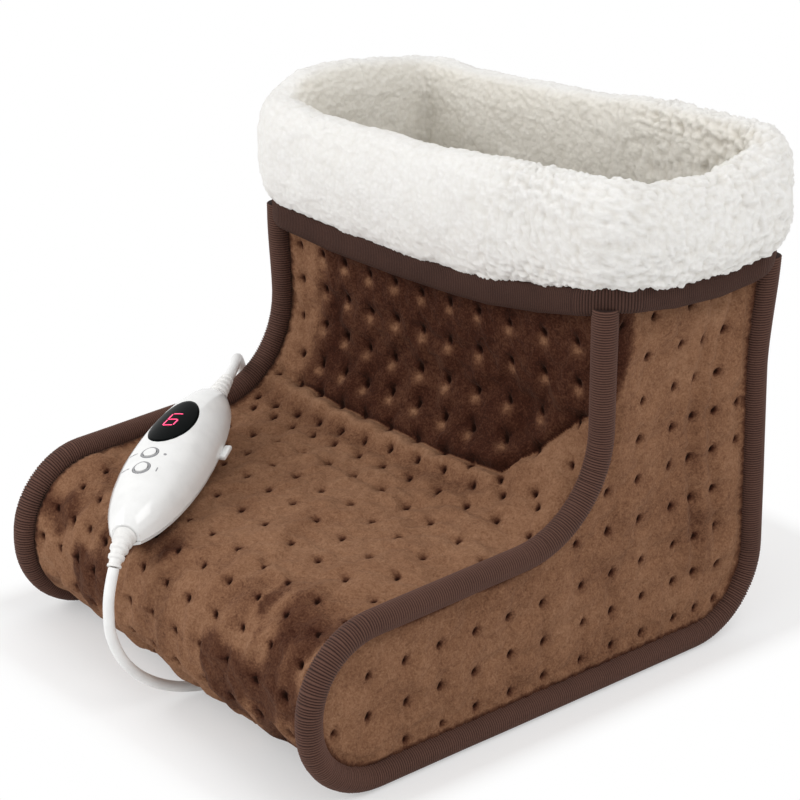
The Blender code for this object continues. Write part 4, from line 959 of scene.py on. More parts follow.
@dataclass(frozen=True)
class Quilting:
    """Spot stitches of a panel and how the cloth rises between them."""

    places: tuple[tuple[float, float], ...]
    wander: float = 0.0009
    margin: float = 0.0065
    swell: float = 0.0019
    dimple: float = 0.0011
    pit: float = 0.0027
    tilt: float = 0.25
    seed: int = 3

    def spots(self, outline: Points) -> Points:
        """Stitches inside a flat outline, each a little off its place."""
        places = np.array(self.places)
        cells = np.column_stack([np.round(places * 1e4), np.zeros(len(places))])
        places = places + (scatter(cells, self.seed)[:, :2] - 0.5) * 2 * self.wander
        places = places[inside(places, outline)]
        return places[distance_to_line(places, outline, True) > self.margin]

    def nearest(self, flat: Points, spots: Points) -> tuple[Points, Points]:
        """Steps across and along from the nearest stitch to each flat point."""
        best = np.full(len(flat), 9.0)
        across, along = np.full(len(flat), 9.0), np.full(len(flat), 9.0)
        for spot in spots:
            step = flat - spot
            far = np.linalg.norm(step, axis=1)
            closer = far < best
            best = np.where(closer, far, best)
            across, along = np.where(closer, step[:, 0], across), np.where(closer, step[:, 1], along)
        return across, along


CLOTH = {"quality": 5, "mass": 0.1, "tension_stiffness": 8, "compression_stiffness": 8, "shear_stiffness": 3,
         "bending_stiffness": 0.05, "shrink_min": -0.035, "use_pressure": True}


def swell_cloth(name: str, sheet: Sheet, held: Points, pressure: float, cap: float,
                frames: int = 18) -> Points:
    """Let pressure swell a sheet of cloth between the points that hold it.

    Args:
        name: name for the passing object.
        sheet: the cloth.
        held: how firmly each point is held, from 0 to 1.
        pressure: pressure of the filling.
        cap: how far a point may move.
        frames: how many frames the cloth settles.

    Returns:
        How far each point moved.
    """
    item = add_item(name, raw_mesh(name, sheet.points, sheet.faces))
    group = item.vertex_groups.new(name="held")
    for index in np.nonzero(held > 0.02)[0]:
        group.add([int(index)], float(held[index]), "REPLACE")
    cloth = item.modifiers.new("swell", "CLOTH")
    settings = cloth.settings
    for key, value in CLOTH.items():
        setattr(settings, key, value)
    settings.uniform_pressure_force = pressure
    settings.vertex_group_mass = "held"
    settings.effector_weights.gravity = 0
    cloth.collision_settings.use_collision = False
    scene = bpy.context.scene
    for number in range(1, frames + 1):
        scene.frame_set(number)
    depsgraph = bpy.context.evaluated_depsgraph_get()
    solved = item.evaluated_get(depsgraph)
    moved = np.empty(len(sheet.points) * 3)
    solved.data.vertices.foreach_get("co", moved)
    moved = moved.reshape(-1, 3) - sheet.points
    bpy.data.objects.remove(item)
    scene.frame_set(1)
    length = np.linalg.norm(moved, axis=1)
    return moved * np.minimum(1, cap / np.maximum(length, 1e-9))[:, None]


def blob(across: Points, along: Points, width: float, length: float) -> Points:
    """Soft spot, 1 in its middle."""
    return np.exp(-(across / width) ** 2 - (along / length) ** 2)


class Plush:
    """The boot's quilted outer panels."""

    STEP = 0.0027
    DEPTH = 0.0043
    SIDE_X = 0.1356
    STRIP_OFFSET = 0.0014
    STRIP_HALF = 0.1290
    SIDE_INSET = 0.0050
    CREASE = ((-0.135, 0.1045), (-0.104, 0.1064), (-0.083, 0.1072), (-0.059, 0.1085), (-0.038, 0.1080),
              (-0.016, 0.1075), (0.007, 0.1075), (0.028, 0.1070), (0.051, 0.1053), (0.073, 0.1036),
              (0.090, 0.0858), (0.102, 0.0750), (0.114, 0.0627), (0.135, 0.0500))
    # painted shade on the sides: where the shaded strip beside the shin's seam ends, as (height, boot's Y)
    SHADED_STRIP_EDGE = ((0.157, 0.0430), (0.171, 0.0497), (0.180, 0.0535), (0.195, 0.0570), (0.212, 0.0560))
    FRONT_ROWS = tuple(StitchRow(*row) for row in (
        (0.0040, -0.0100, 0.0232, -0.045, -0.30), (0.0268, -0.0100, 0.0232, -0.045, -0.26),
        (0.0488, -0.0089, 0.0232, -0.040, -0.26), (0.0708, -0.0089, 0.0232, -0.030, -0.26),
        (0.0900, -0.0038, 0.0226, -0.025, -0.16), (0.1075, -0.0162, 0.0224),
        (0.1192, -0.0032, 0.0212, -0.060), (0.1312, 0.0051, 0.0215, -0.020),
        (0.1468, -0.0005, 0.0228, 0.010, 0.90), (0.1688, 0.0000, 0.0232, 0.030, 1.00),
        (0.1914, 0.0023, 0.0240, 0.070, 0.50), (0.2168, -0.0123, 0.0238, 0.050, 0.40),
        (0.2436, -0.0003, 0.0228, 0.010, 0.50), (0.2660, -0.0036, 0.0222),
        (0.2846, 0.0025, 0.0214), (0.3054, -0.0020, 0.0216),
        (0.3262, -0.0030, 0.0222), (0.3480, 0.0010, 0.0228),
        (0.3690, -0.0020, 0.0230),
    ))
    SIDE_COLUMNS = (-0.1440, -0.1205, -0.0970, -0.0735, -0.0500, -0.0265, -0.0030, 0.0205, 0.0430, 0.0660,
                    0.0895, 0.1055, 0.1220, 0.1400)
    SIDE_ROWS = (0.0220, 0.0440, 0.0665, 0.0910, 0.1150, 0.1380, 0.1600, 0.1830, 0.2050)

    def __init__(self, seam: SeamLine, finish: PlushFinish, sole: ClothFinish) -> None:
        """Keep the boot's outline and make the finishes."""
        self.seam = seam
        self.material = finish.material()
        self.sole_material = sole.material()

    def side_places(self) -> tuple[tuple[float, float], ...]:
        """Stitches of a side panel; its columns bow towards the heel at both ends."""
        result = []
        for up in self.SIDE_ROWS:
            bend = 0.0055 * min(1.3, ((up - 0.130) / 0.062) ** 2)
            for across in self.SIDE_COLUMNS:
                result.append((across + bend * (1.0 if across > 0 else 0.4), up + 0.02 * (across - 0.07)))
        return tuple(result)

    @staticmethod
    def stitched(rows: Iterable[StitchRow]) -> tuple[tuple[float, float], ...]:
        """Stitches of several rows."""
        return tuple(spot for row in rows for spot in row.spots())

    def strip_outline(self, low: Callable[[float], float], high: Callable[[float], float]) -> Points:
        """Flat outline of a strip between two ends."""
        half = self.STRIP_HALF
        across = np.linspace(-half, half, 25)
        return np.array([(x, low(x)) for x in across] + [(x, high(x)) for x in across[::-1]])

    def puffed(self, name: str, wall: Union[SideWall, Strip], outline: Points, quilting: Quilting,
               folds: Sequence[Fold], nap: Callable[[Sheet, Points, Points], Points], nodes: Sequence[str],
               material: Optional[bpy.types.Material] = None) -> bpy.types.Object:
        """Swell a sheet between its stitches, press its folds in and make the piece.

        Args:
            name: the piece's name.
            wall: what the cloth lies on.
            outline: its flat outline.
            quilting: its stitches.
            folds: creases.
            nap: painted light and shade of the pile with its random patches, from the sheet and the steps
                from each point's stitch.
            nodes: CAD nodes that it stands for.
            material: its finish, if not plush.

        Returns:
            The piece.
        """
        spots = quilting.spots(outline)
        crisp = [np.array(fold.line) for fold in folds if fold.crisp]
        sheet = spread(wall, outline, spots, self.STEP, crisp)
        to_border = distance_to_line(sheet.flat, sheet.flat[sheet.edge], True)
        across, along = quilting.nearest(sheet.flat, spots)
        near = np.hypot(across, along)
        rise = 1 - np.exp(-(to_border / 0.006) ** 2)
        held = np.maximum(np.exp(-(near / 0.0022) ** 4), np.exp(-(to_border / 0.0030) ** 4))
        moved = swell_cloth(name + "_cloth", sheet, held, 1.6, 1.5 * quilting.swell)
        outward = np.sum(moved * sheet.normals, axis=1)
        LOG.info("%s swelled by %.1f mm at most", name, 1000 * float(outward.max()))
        turned = across - quilting.tilt * along
        slot_shape = blob(turned, along, 0.00115, 0.00185)
        height = -quilting.pit * slot_shape - quilting.dimple * blob(across, along, 0.0046, 0.0052)
        for fold in folds:
            height += fold.height(sheet.flat)
        height += 0.0008 * soft_noise(sheet.points, 0.016, 5) + 0.0003 * soft_noise(sheet.points, 0.005, 6)
        low = -(self.DEPTH - 0.0007)
        height = low + np.logaddexp(0, (height * rise - low) / 0.0004) * 0.0004
        outer = sheet.points + moved + sheet.normals * height[:, None]
        inner = sheet.points - sheet.normals * self.DEPTH
        shade = 0.40 * (1 - soft_step(to_border, 0.0016, 0.0048))
        # hollow is painted shade in the stitch pits
        item = sheet.shell(name, settled(outer), settled(inner), material or self.material,
                           hollow=slot_shape * rise, nap=nap(sheet, across, along) - shade)
        return dress(item, nodes)

    def front_nap(self, sheet: Sheet, across: Points, along: Points) -> Points:
        """Painted light and shade of the front: a shin in painted shade above the crease, a lit toe below
        it, painted highlights and shade round the stitches, and darker streaked patches round the nose.
        """
        x, way = sheet.flat[:, 0], sheet.flat[:, 1]
        crease = np.interp(x, *np.array(self.CREASE).T)
        shin = soft_step(crease - way, -0.0006, 0.0008) * soft_step(x, -0.110, -0.086)
        patch = soft_noise(sheet.points, 0.022, 51)
        streak = soft_noise(sheet.points * np.array([1.0, 0.35, 0.35]), 0.009, 52)
        # the shin's level is painted shade, as it faces away from the lamps, with random patches
        dark = 0.26 + 0.05 * patch + 0.03 * streak
        # painted highlight on the puff above each stitch, painted shade below it and along the crease
        dark = dark + 0.46 * blob(across, along - 0.0046, 0.0036, 0.0028) * soft_step(along, -0.001, 0.002)
        dark = dark - 0.16 * blob(across + 0.0006, along + 0.0040, 0.0040, 0.0030)
        dark = dark - 0.14 * np.exp(-((crease - way - 0.0004) / 0.0014) ** 2)
        # the toe's level is painted light, with random patches; painted shade beside each stitch
        toe = 0.70 + 0.03 * patch + 0.03 * streak
        toe = toe - 0.16 * blob(across + 0.0022, along + 0.0006, 0.0032, 0.0022)
        # painted highlight on the ridge beside the crease, painted shade in the valley beyond it
        ridge_light = blob(way - (crease + 0.0052), np.zeros(len(x)), 0.0042, 1.0) * soft_step(x, 0.090, 0.070)
        valley_shade = blob(way - (crease + 0.0155), np.zeros(len(x)), 0.0060, 1.0) * soft_step(x, 0.085, 0.060)
        toe = toe + 0.07 * ridge_light - 0.20 * valley_shade * (0.6 + 0.4 * streak)
        nose = soft_step(way, 0.228, 0.272)
        swirl = soft_noise(sheet.points + 0.004 * streak[:, None], 0.026, 53) + 0.5 * streak
        toe = toe - 0.36 * nose * soft_step(swirl, -0.12, 0.42) - 0.08 * nose * soft_step(-swirl, 0.3, 0.7)
        return toe + (dark - toe) * shin

    def side_nap(self, sheet: Sheet, across: Points, along: Points) -> Points:
        """Painted light of a lit side, with painted shade beside each stitch and in a strip beside the
        shin's seam, and a darker streaky patch near the heel.
        """
        y, z = sheet.flat[:, 0], sheet.flat[:, 1]
        patch = soft_noise(sheet.points, 0.024, 54)
        streak = soft_noise(sheet.points * np.array([1.0, 1.0, 0.5]), 0.008, 55)
        # painted light of the lit side, with random patches; painted shade beside each stitch
        light = 0.655 + 0.05 * patch + 0.03 * streak - 0.12 * blob(across - 0.0020, along, 0.0026, 0.0034)
        # painted shade in a strip beside the shin's seam
        edge = np.interp(z, *np.array(self.SHADED_STRIP_EDGE).T) + 0.003 * streak
        strip = soft_step(edge - y, -0.002, 0.003) * soft_step(z, 0.150, 0.165)
        heel_patch = blob(y - 0.114, z - 0.080, 0.013, 0.034) * soft_step(streak, -0.4, 0.5)
        return light - 0.36 * strip - 0.16 * heel_patch

    def plain_nap(self, sheet: Sheet, across: Points, along: Points) -> Points:
        """Even painted light with soft random patches and painted shade beside each stitch."""
        patch = soft_noise(sheet.points, 0.026, 56)
        return 0.64 + 0.06 * patch - 0.14 * blob(across, along - 0.0020, 0.0030, 0.0030)

    def build(self) -> None:
        """Make all five panels."""
        seam = self.seam
        side_folds = (
            Fold(((0.1340, 0.218), (0.1260, 0.190), (0.1205, 0.166), (0.1180, 0.140), (0.1200, 0.115),
                  (0.1230, 0.096), (0.1300, 0.060)), 0.0016, 0.0032, 0.4),
            Fold(((0.1180, 0.205), (0.1120, 0.176), (0.1060, 0.146), (0.1050, 0.120), (0.1070, 0.094),
                  (0.1110, 0.070), (0.1120, 0.045)), 0.0019, 0.0036, 0.5),
        )
        for word, side in (("left", -1), ("right", 1)):
            top = seam.hem(side * self.SIDE_X) + 0.0085
            outline = inset_outline(seam.outline(top), self.SIDE_INSET)
            self.puffed("plush_side_" + word, SideWall(side * self.SIDE_X), outline,
                        Quilting(self.side_places(), tilt=0.35 * side, seed=4 + side), side_folds,
                        self.side_nap, ["side_panel_" + word])
        crease = np.array(self.CREASE)
        folds = (Fold(self.CREASE, 0.0036, 0.0022, 0.16, True),
                 Fold(tuple(map(tuple, crease[:10] + (0.0, 0.0062))), -0.0014, 0.0050, 0.0),
                 Fold(tuple(map(tuple, crease[:10] + (0.0, 0.0145))), 0.0012, 0.0042, 0.3))
        high = seam.hem(0.0) + 0.040
        zero = high - seam.hem(0.0) - 0.004
        wall = Strip(seam.front(high), self.STRIP_OFFSET, zero)
        self.puffed("plush_front", wall,
                    self.strip_outline(lambda x: -0.0045 - seam.hem_lean * x, lambda x: wall.reach()),
                    Quilting(self.stitched(self.FRONT_ROWS), seed=8), folds,
                    self.front_nap, ["front_panel"])
        back = Strip(seam.back(high), self.STRIP_OFFSET)
        top = back.reach() - 0.040 + 0.0085
        rows = [StitchRow(0.011 + 0.0226 * count, 0.004) for count in range(12)]
        self.puffed("plush_back", back,
                    self.strip_outline(lambda x: 0.0, lambda x: top + seam.hem_lean * x),
                    Quilting(self.stitched(rows), tilt=-0.25, seed=9), (),
                    self.plain_nap, ["back_panel"])
        line = np.array([(seam.sole_front() + 0.001, seam.seam_z), (seam.sole_back() - 0.001, seam.seam_z)])
        sole = Strip(line, 0.0004)
        self.puffed("sole_cover", sole, self.strip_outline(lambda x: 0.0, lambda x: sole.reach()),
                    Quilting(((0.0, 0.1),), swell=0.0003, dimple=0.0, pit=0.0, seed=2), (),
                    self.plain_nap, ["sole_panel"], self.sole_material)


# ---------------------------------------------------------------- ribbed tape


class Tape:
    """Ribbed tape welts on the side seams and round the top edge."""

    PITCH = 0.0014
    RIB = 0.00048
    SIDES = 16
    RADIUS = 0.00672
    HEM_HALF = (0.0046, 0.0078)
    LOWEST = 0.0002

    def __init__(self, seam: SeamLine, finish: TapeFinish) -> None:
        """Keep the outline and make the finish."""
        self.seam = seam
        self.material = finish.material()

    def welt(self, name: str, line: Points, frames: Callable[[int], tuple[Vector, Vector]],
             section: Callable[[float], tuple[float, float]], closed: bool, node: str,
             tone_and_light: float = 1.0) -> bpy.types.Object:
        """Sweep a ribbed section along a line.

        Args:
            name: the piece's name.
            line: its middle line, a third of a rib apart.
            frames: two directions across the line at each of its points.
            section: place on the section at an angle.
            closed: whether the line is a ring.
            node: the CAD node that it stands for.
            tone_and_light: how light its ribs are painted; the hem tape's lower value is painted shade under
                the cuff.

        Returns:
            The piece.
        """
        count = len(line)
        phase = np.arange(count) % 3
        lift = np.where(phase == 0, -self.RIB, self.RIB * 0.6)
        # painted light on each rib's ridge and painted shade in the groove between ribs
        ridge_light = np.where(phase == 0, 0.0, tone_and_light)
        uneven = soft_noise(line, 0.03, 11)
        points, ribs = [], []
        for index in range(count):
            across, up = frames(index)
            for corner in range(self.SIDES):
                angle = 2 * math.pi * corner / self.SIDES
                out, high = section(angle)
                grow = 1 + (lift[index] + 0.0002 * uneven[index]) / 0.007
                points.append(Vector(line[index]) + across * out * grow + up * high * grow)
                ribs.append(ridge_light[index])
        faces = [tuple(face) for face in grid_faces(count, self.SIDES, closed, True)]
        if not closed:
            faces.append(tuple(range(self.SIDES))[::-1])
            faces.append(tuple((count - 1) * self.SIDES + corner for corner in range(self.SIDES)))
        item = new_mesh(name, settled(as_rows(points)), faces, self.material, True,
                        rib=np.array(ribs))
        fix_normals(item)
        return dress(item, [node])

    def build(self) -> None:
        """Make both seam welts and the hem tape."""
        seam = self.seam
        for word, side in (("left", -1), ("right", 1)):
            top = seam.hem(side * seam.half_width) + 0.0040
            flat = rounded(seam.front_corners(top) + [(seam.heel_y, seam.seam_z, seam.heel_radius),
                                                      (seam.back_y, top, 0)])
            flat = resample(flat, self.PITCH / 3)
            line = np.column_stack([np.full(len(flat), side * seam.half_width), flat])
            runs = np.gradient(line, axis=0)

            def frames(index: int, runs: Points = runs) -> tuple[Vector, Vector]:
                """Directions across the seam."""
                run = Vector(runs[index]).normalized()
                return Vector((1, 0, 0)), run.cross(Vector((1, 0, 0)))

            def section(angle: float) -> tuple[float, float]:
                """Round section."""
                return self.RADIUS * math.cos(angle), self.RADIUS * math.sin(angle)

            item = self.welt("seam_tape_" + word, line, frames, section, False, "side_binding_" + word)
            for vertex in item.data.vertices:
                vertex.co.z = max(vertex.co.z, self.LOWEST)
        loop = plan_loop(0.1418, (seam.shin_y - 0.0048, seam.back_y + 0.0048), 0.0215)
        loop = resample(loop, self.PITCH / 3, True)
        line = np.column_stack([loop, seam.band(loop)])
        runs = around(loop)

        def frames(index: int) -> tuple[Vector, Vector]:
            """Outward and up."""
            run = Vector((*runs[index], 0)).normalized()
            return Vector((run.y, -run.x, 0)), Vector((0, 0, 1))

        def section(angle: float) -> tuple[float, float]:
            """Flattened section."""
            across, high = math.cos(angle), math.sin(angle)
            return (self.HEM_HALF[0] * math.copysign(abs(across) ** 0.7, across),
                    self.HEM_HALF[1] * math.copysign(abs(high) ** 0.6, high))

        # 0.50: painted shade on the hem tape under the cuff's overhang
        self.welt("hem_tape", line, frames, section, True, "hem_binding", 0.50)


def plan_loop(half: float, reach: tuple[float, float], radius: float, steps: int = 16) -> Points:
    """Plan outline with rounded corners, counter-clockwise from above."""
    points = []
    side, low, high = half - radius, reach[0] + radius, reach[1] - radius
    quarter = math.pi / 2
    centres = ((side, low), (side, high), (-side, high), (-side, low))
    for (x, y), start in zip(centres, (-quarter, 0.0, quarter, math.pi)):
        for count in range(steps + 1):
            angle = start + quarter * count / steps
            points.append((x + radius * math.cos(angle), y + radius * math.sin(angle)))
    return np.array(points)


# ---------------------------------------------------------------- fleece


class Fleece:
    """Turned-over cuff and the lining in the boot's mouth."""

    STEP = 0.0014
    PROFILE = 130
    HALF = 0.0129
    LINING_STEP = 0.0036
    SIDE_X = 0.1275
    RISE = 0.0210
    LOOP = (0.1414, (0.0387, 0.1498), 0.0185)

    def __init__(self, seam: SeamLine, finish: FleeceFinish) -> None:
        """Keep the outline and make the finish."""
        self.seam = seam
        self.material = finish.material()

    def curls(self, points: Points) -> Points:
        """Height from 0 to 1 of the pile's curls, large and small together."""
        bent = warped(points, 0.007, 0.0016, 21)
        return 0.58 * curl_height(bent, 0.0082, 31) + 0.42 * curl_height(bent, 0.0044, 32)

    def small_curls(self, points: Points) -> Points:
        """Height from 0 to 1 of tight curls."""
        bent = warped(points, 0.005, 0.0009, 24)
        return 0.35 * curl_height(bent, 0.0058, 34) + 0.65 * curl_height(bent, 0.0036, 35)

    def cuff_surface(self) -> tuple[Points, Points, Points, Points]:
        """Smooth rolled cuff: its points, normals, faces and how far round the roll each point is."""
        seam = self.seam
        loop = resample(plan_loop(*self.LOOP), self.STEP, True)
        loop[:, 0] -= 0.0010
        runs = unit(around(loop))
        outward = np.stack([runs[:, 1], -runs[:, 0]], 1)
        level = np.column_stack([loop, np.zeros(len(loop))])
        wave, fine = soft_noise(level, 0.035, 41), soft_noise(level, 0.011, 42)
        foot = seam.band(loop) + 0.0050 - 0.0012 * soft_step(-loop[:, 1], -0.060, -0.042)
        foot += 0.0006 * wave + 0.0007 * fine
        crest = seam.crest(loop) + 0.0010 * wave
        lip = 0.0040 * soft_step(loop[:, 0], 0.060, 0.130)
        middle, half = (foot + crest) / 2, (crest - foot) / 2
        rows = []
        for corner in range(self.PROFILE):
            angle = 2 * math.pi * corner / self.PROFILE
            across, high = math.cos(angle), math.sin(angle)
            width = (self.HALF - (lip if across < 0 else 0)) * math.copysign(abs(across) ** 0.66, across)
            bulge = 0.0016 * max(0.0, across) * (1 - high * high)
            spot = loop + outward * np.reshape(width + bulge, (-1, 1))
            z = middle + half * math.copysign(abs(high) ** 0.74, high)
            rows.append(np.column_stack([spot, z]))
        points = np.stack(rows, 1).reshape(-1, 3)
        round_the_roll = np.tile(np.arange(self.PROFILE) * 360.0 / self.PROFILE, len(loop))
        faces = grid_faces(len(loop), self.PROFILE, True, True)
        normals = point_normals(points, faces)
        away = points - np.repeat(level, self.PROFILE, axis=0)
        away[:, 2] = 0
        if np.mean(np.sum(normals * away, axis=1)) < 0:
            normals, faces = -normals, faces[:, ::-1]
        return points, normals, faces, round_the_roll

    def cuff(self) -> bpy.types.Object:
        """Thick rolled cuff with curls, largest along its crest and its lower edge."""
        points, normals, faces, turn = self.cuff_surface()
        right = soft_step(points[:, 0] + 0.03 * soft_noise(points, 0.03, 46), 0.01, 0.07)
        inner = soft_step(np.cos(np.radians(turn)), 0.3, -0.3)
        tight = np.maximum(right, 0.6 * inner)
        curls = self.curls(points) * (1 - tight) + self.small_curls(points) * tight
        crest = np.exp(-((turn - 78) / 34) ** 2)
        foot = np.exp(-((turn - 306) / 20) ** 2)
        depth = 0.0013 + 0.0019 * right + 0.0010 * inner + 0.0010 * crest + 0.0010 * foot
        depth *= 1 + 0.3 * soft_noise(points, 0.03, 43)
        puff = 0.0012 * soft_noise(points, 0.020, 44)
        tuft = curl_height(points, 0.0024, 45) - 0.4
        height = depth * (curls - 0.45) + puff + 0.0005 * tuft * (1 + crest + foot)
        outer = points + normals * height[:, None]
        # painted shade in the gaps between curls, stronger on the right and on the roll's inner side
        hollow = np.clip(1 - curls * 1.3, 0, 1) * (0.18 + 0.62 * right + 0.45 * inner)
        # painted shade on the roll's inner side, which faces into the mouth
        cream = 0.08 + 0.75 * soft_step(np.cos(np.radians(turn)), 0.0, -0.60)
        item = new_mesh("fleece_cuff", settled(outer), faces, self.material, True,
                        hollow=hollow, cream=cream)
        return dress(item, ["cuff"])

    def lined(self, name: str, wall: Union[SideWall, Strip], outline: Points, depth: float,
              node: str) -> None:
        """Make one layer of lining with its pile towards the feet.

        Args:
            name: the piece's name.
            wall: the layer's outer face.
            outline: its flat outline.
            depth: its thickness.
            node: the CAD node that it stands for.
        """
        sheet = spread(wall, outline, np.zeros((0, 2)), self.LINING_STEP)
        curls = self.curls(sheet.points)
        inner = sheet.points - sheet.normals * (depth - 0.0030 + 0.0030 * curls)[:, None]
        # the lining is all in painted shade: creamier, and darker between its curls
        item = sheet.shell(name, self.leaned(sheet.points), self.leaned(inner), self.material,
                           hollow=np.clip(1 - 1.3 * curls, 0, 1), cream=np.full(len(curls), 0.9))
        dress(item, [node])

    def leaned(self, points: Points) -> Points:
        """Let the lining's top spread into the cuff."""
        moved = settled(points)
        moved[:, 0] *= 1 + 0.07 * soft_step(moved[:, 2] - self.seam.hem(moved[:, 0]), -0.030, 0.012)
        return moved

    def build(self) -> None:
        """Make the cuff and the five layers of lining, which reach up inside it."""
        self.cuff()
        seam = self.seam
        for word, side in (("left", -1), ("right", 1)):
            outline = inset_outline(seam.outline(seam.hem(side * self.SIDE_X) + self.RISE), 0.0066)
            wall = SideWall(side * self.SIDE_X)
            self.lined("lining_side_" + word, wall, outline, 0.0080, "liner_side_" + word)
        half, extra = 0.1190, 0.030
        top = seam.hem(0.0) + self.RISE
        front = Strip(seam.front(top + extra), 0.0066, extra)
        corners = [(-half, -seam.hem_lean * -half), (-half, front.reach()), (half, front.reach()),
                   (half, -seam.hem_lean * half)]
        self.lined("lining_front", front, np.array(corners[::-1]), 0.0078, "liner_front")
        back = Strip(seam.back(top + extra), 0.0066)
        rise = back.reach() - extra
        lean = seam.hem_lean * half
        corners = [(-half, 0.0), (half, 0.0), (half, rise + lean), (-half, rise - lean)]
        self.lined("lining_back", back, np.array(corners), 0.0078, "liner_back")
        low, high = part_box("liner_sole")
        sole = Strip(np.array([(low.y, low.z + 0.0002), (high.y, low.z + 0.0002)]), 0.0)
        corners = [(-half, 0.0), (half, 0.0), (half, sole.reach()), (-half, sole.reach())]
        self.lined("lining_sole", sole, np.array(corners), high.z - low.z, "liner_sole")


# ---------------------------------------------------------------- cords


BOOT_LEAD_ROUTE = (
    (-0.1462, 0.1405, 0.0190), (-0.1487, 0.1515, 0.0122), (-0.1500, 0.1620, 0.0056),
    (-0.1505, 0.1750, 0.0032), (-0.1505, 0.2040, 0.0032), (-0.1428, 0.2226, 0.0032),
    (-0.1245, 0.2302, 0.0032), (-0.1062, 0.2226, 0.0032), (-0.0983, 0.2040, 0.0034),
    (-0.1062, 0.1854, 0.0046), (-0.1245, 0.1780, 0.0072), (-0.1500, 0.1780, 0.0098),
    (-0.1680, 0.1705, 0.0080), (-0.1755, 0.1530, 0.0050), (-0.1755, 0.1300, 0.0032),
    (-0.1745, 0.1050, 0.0032), (-0.1715, 0.0800, 0.0050), (-0.1680, 0.0580, 0.0180),
    (-0.1655, 0.0440, 0.0400), (-0.1630, 0.0360, 0.0660), (-0.1590, 0.0280, 0.0880),
    (-0.1525, 0.0200, 0.1030), (-0.1440, 0.0120, 0.1118), (-0.1350, 0.0040, 0.1152),
    (-0.1245, -0.0045, 0.1180),
)
MAINS_LEAD_ROUTE = (
    (-0.0052, -0.1758, 0.0714), (-0.0044, -0.1770, 0.0627), (-0.0040, -0.1765, 0.0500),
    (-0.0037, -0.1705, 0.0340), (-0.0033, -0.1595, 0.0200), (-0.0018, -0.1440, 0.0095),
    (0.0010, -0.1270, 0.0044), (0.0035, -0.1080, 0.0032), (0.0080, -0.0700, 0.0032),
    (0.0170, -0.0200, 0.0032), (0.0300, 0.0350, 0.0032), (0.0450, 0.0900, 0.0032),
    (0.0585, 0.1350, 0.0032), (0.0648, 0.1600, 0.0040),
)


@dataclass(frozen=True)
class ControlPlace:
    """Where the hand control lies: X across it, Y towards its upper end, Z out of its face."""

    spot: tuple[float, float, float] = (-0.0532, -0.10355, 0.1012)
    yaw: float = math.radians(33.7)
    pitch: float = math.radians(9)
    roll: float = math.radians(-3)
    half_width: float = 0.0225
    upper: float = 0.083
    lower: float = 0.066
    crown: float = 0.0225
    fullness: float = 0.8
    end_cut: float = 0.0047
    relief_height: float = 0.0027
    relief_length: float = 0.020
    relief_bend: float = math.radians(42)

    def matrix(self) -> Matrix:
        """Place of the hand control."""
        turn = Matrix.Rotation(self.yaw, 4, "Z") @ Matrix.Rotation(self.pitch, 4, "X")
        return Matrix.Translation(self.spot) @ turn @ Matrix.Rotation(self.roll, 4, "Y")

    def face(self, x: float, y: float) -> float:
        """Height of the face."""
        reach = self.upper if y > 0 else self.lower
        left = 1 - (y / reach) ** 2 - (x / self.half_width) ** 2
        return self.crown * max(0.0, left) ** (self.fullness / 2)

    def relief(self, reach: float, side: int) -> Matrix:
        """Root of the strain relief at the upper (side 1) or lower (side -1) end, with Z along the cord."""
        start = (0, side * (reach - self.end_cut + GAP), self.relief_height)
        return self.matrix() @ along(start, (0, side, 0))

    def bent(self, distance: float) -> Matrix:
        """Place on the lower relief's bent middle line."""
        root = self.relief(self.lower, -1)
        ahead = root.to_3x3() @ Vector((0, 0, 1))
        down = (Vector((0, 0, -1)) - ahead * ahead.dot(Vector((0, 0, -1)))).normalized()
        angle = self.relief_bend * distance / self.relief_length
        radius = self.relief_length / self.relief_bend
        point = root.translation + ahead * radius * math.sin(angle) + down * radius * (1 - math.cos(angle))
        turn = Matrix.Rotation(angle, 4, ahead.cross(down))
        return Matrix.Translation(point) @ turn @ root.to_3x3().to_4x4()


def along(start: Sequence[float], direction: Sequence[float]) -> Matrix:
    """Matrix at a point with Z along a direction."""
    turn = Vector((0, 0, 1)).rotation_difference(Vector(direction)).to_matrix().to_4x4()
    return Matrix.Translation(start) @ turn


def tip_points(matrix: Matrix, length: float, straight: float = 0.006) -> list[Vector]:
    """Two points that lead a cord straight out of a strain relief's tip."""
    return [matrix @ Vector((0, 0, length + 0.0008 + step)) for step in (0, straight)]


def smooth_route(route: Sequence[Vector], step: float) -> Points:
    """Smooth line through a route's points; both end pieces stay straight."""
    spots = [Vector(point) for point in route]
    fine = []
    for before, start, end, after in zip(spots, spots[1:], spots[2:], spots[3:]):
        for count in range(16):
            t = count / 16
            bend = (2 * before - 5 * start + 4 * end - after) * t ** 2
            twist = (3 * start - before - 3 * end + after) * t ** 3
            fine.append((2 * start + (end - before) * t + bend + twist) / 2)
    fine.append(spots[-2])
    middle = resample(as_rows(fine), step)
    return np.vstack([[tuple(spots[0])], middle, [tuple(spots[-1])]])


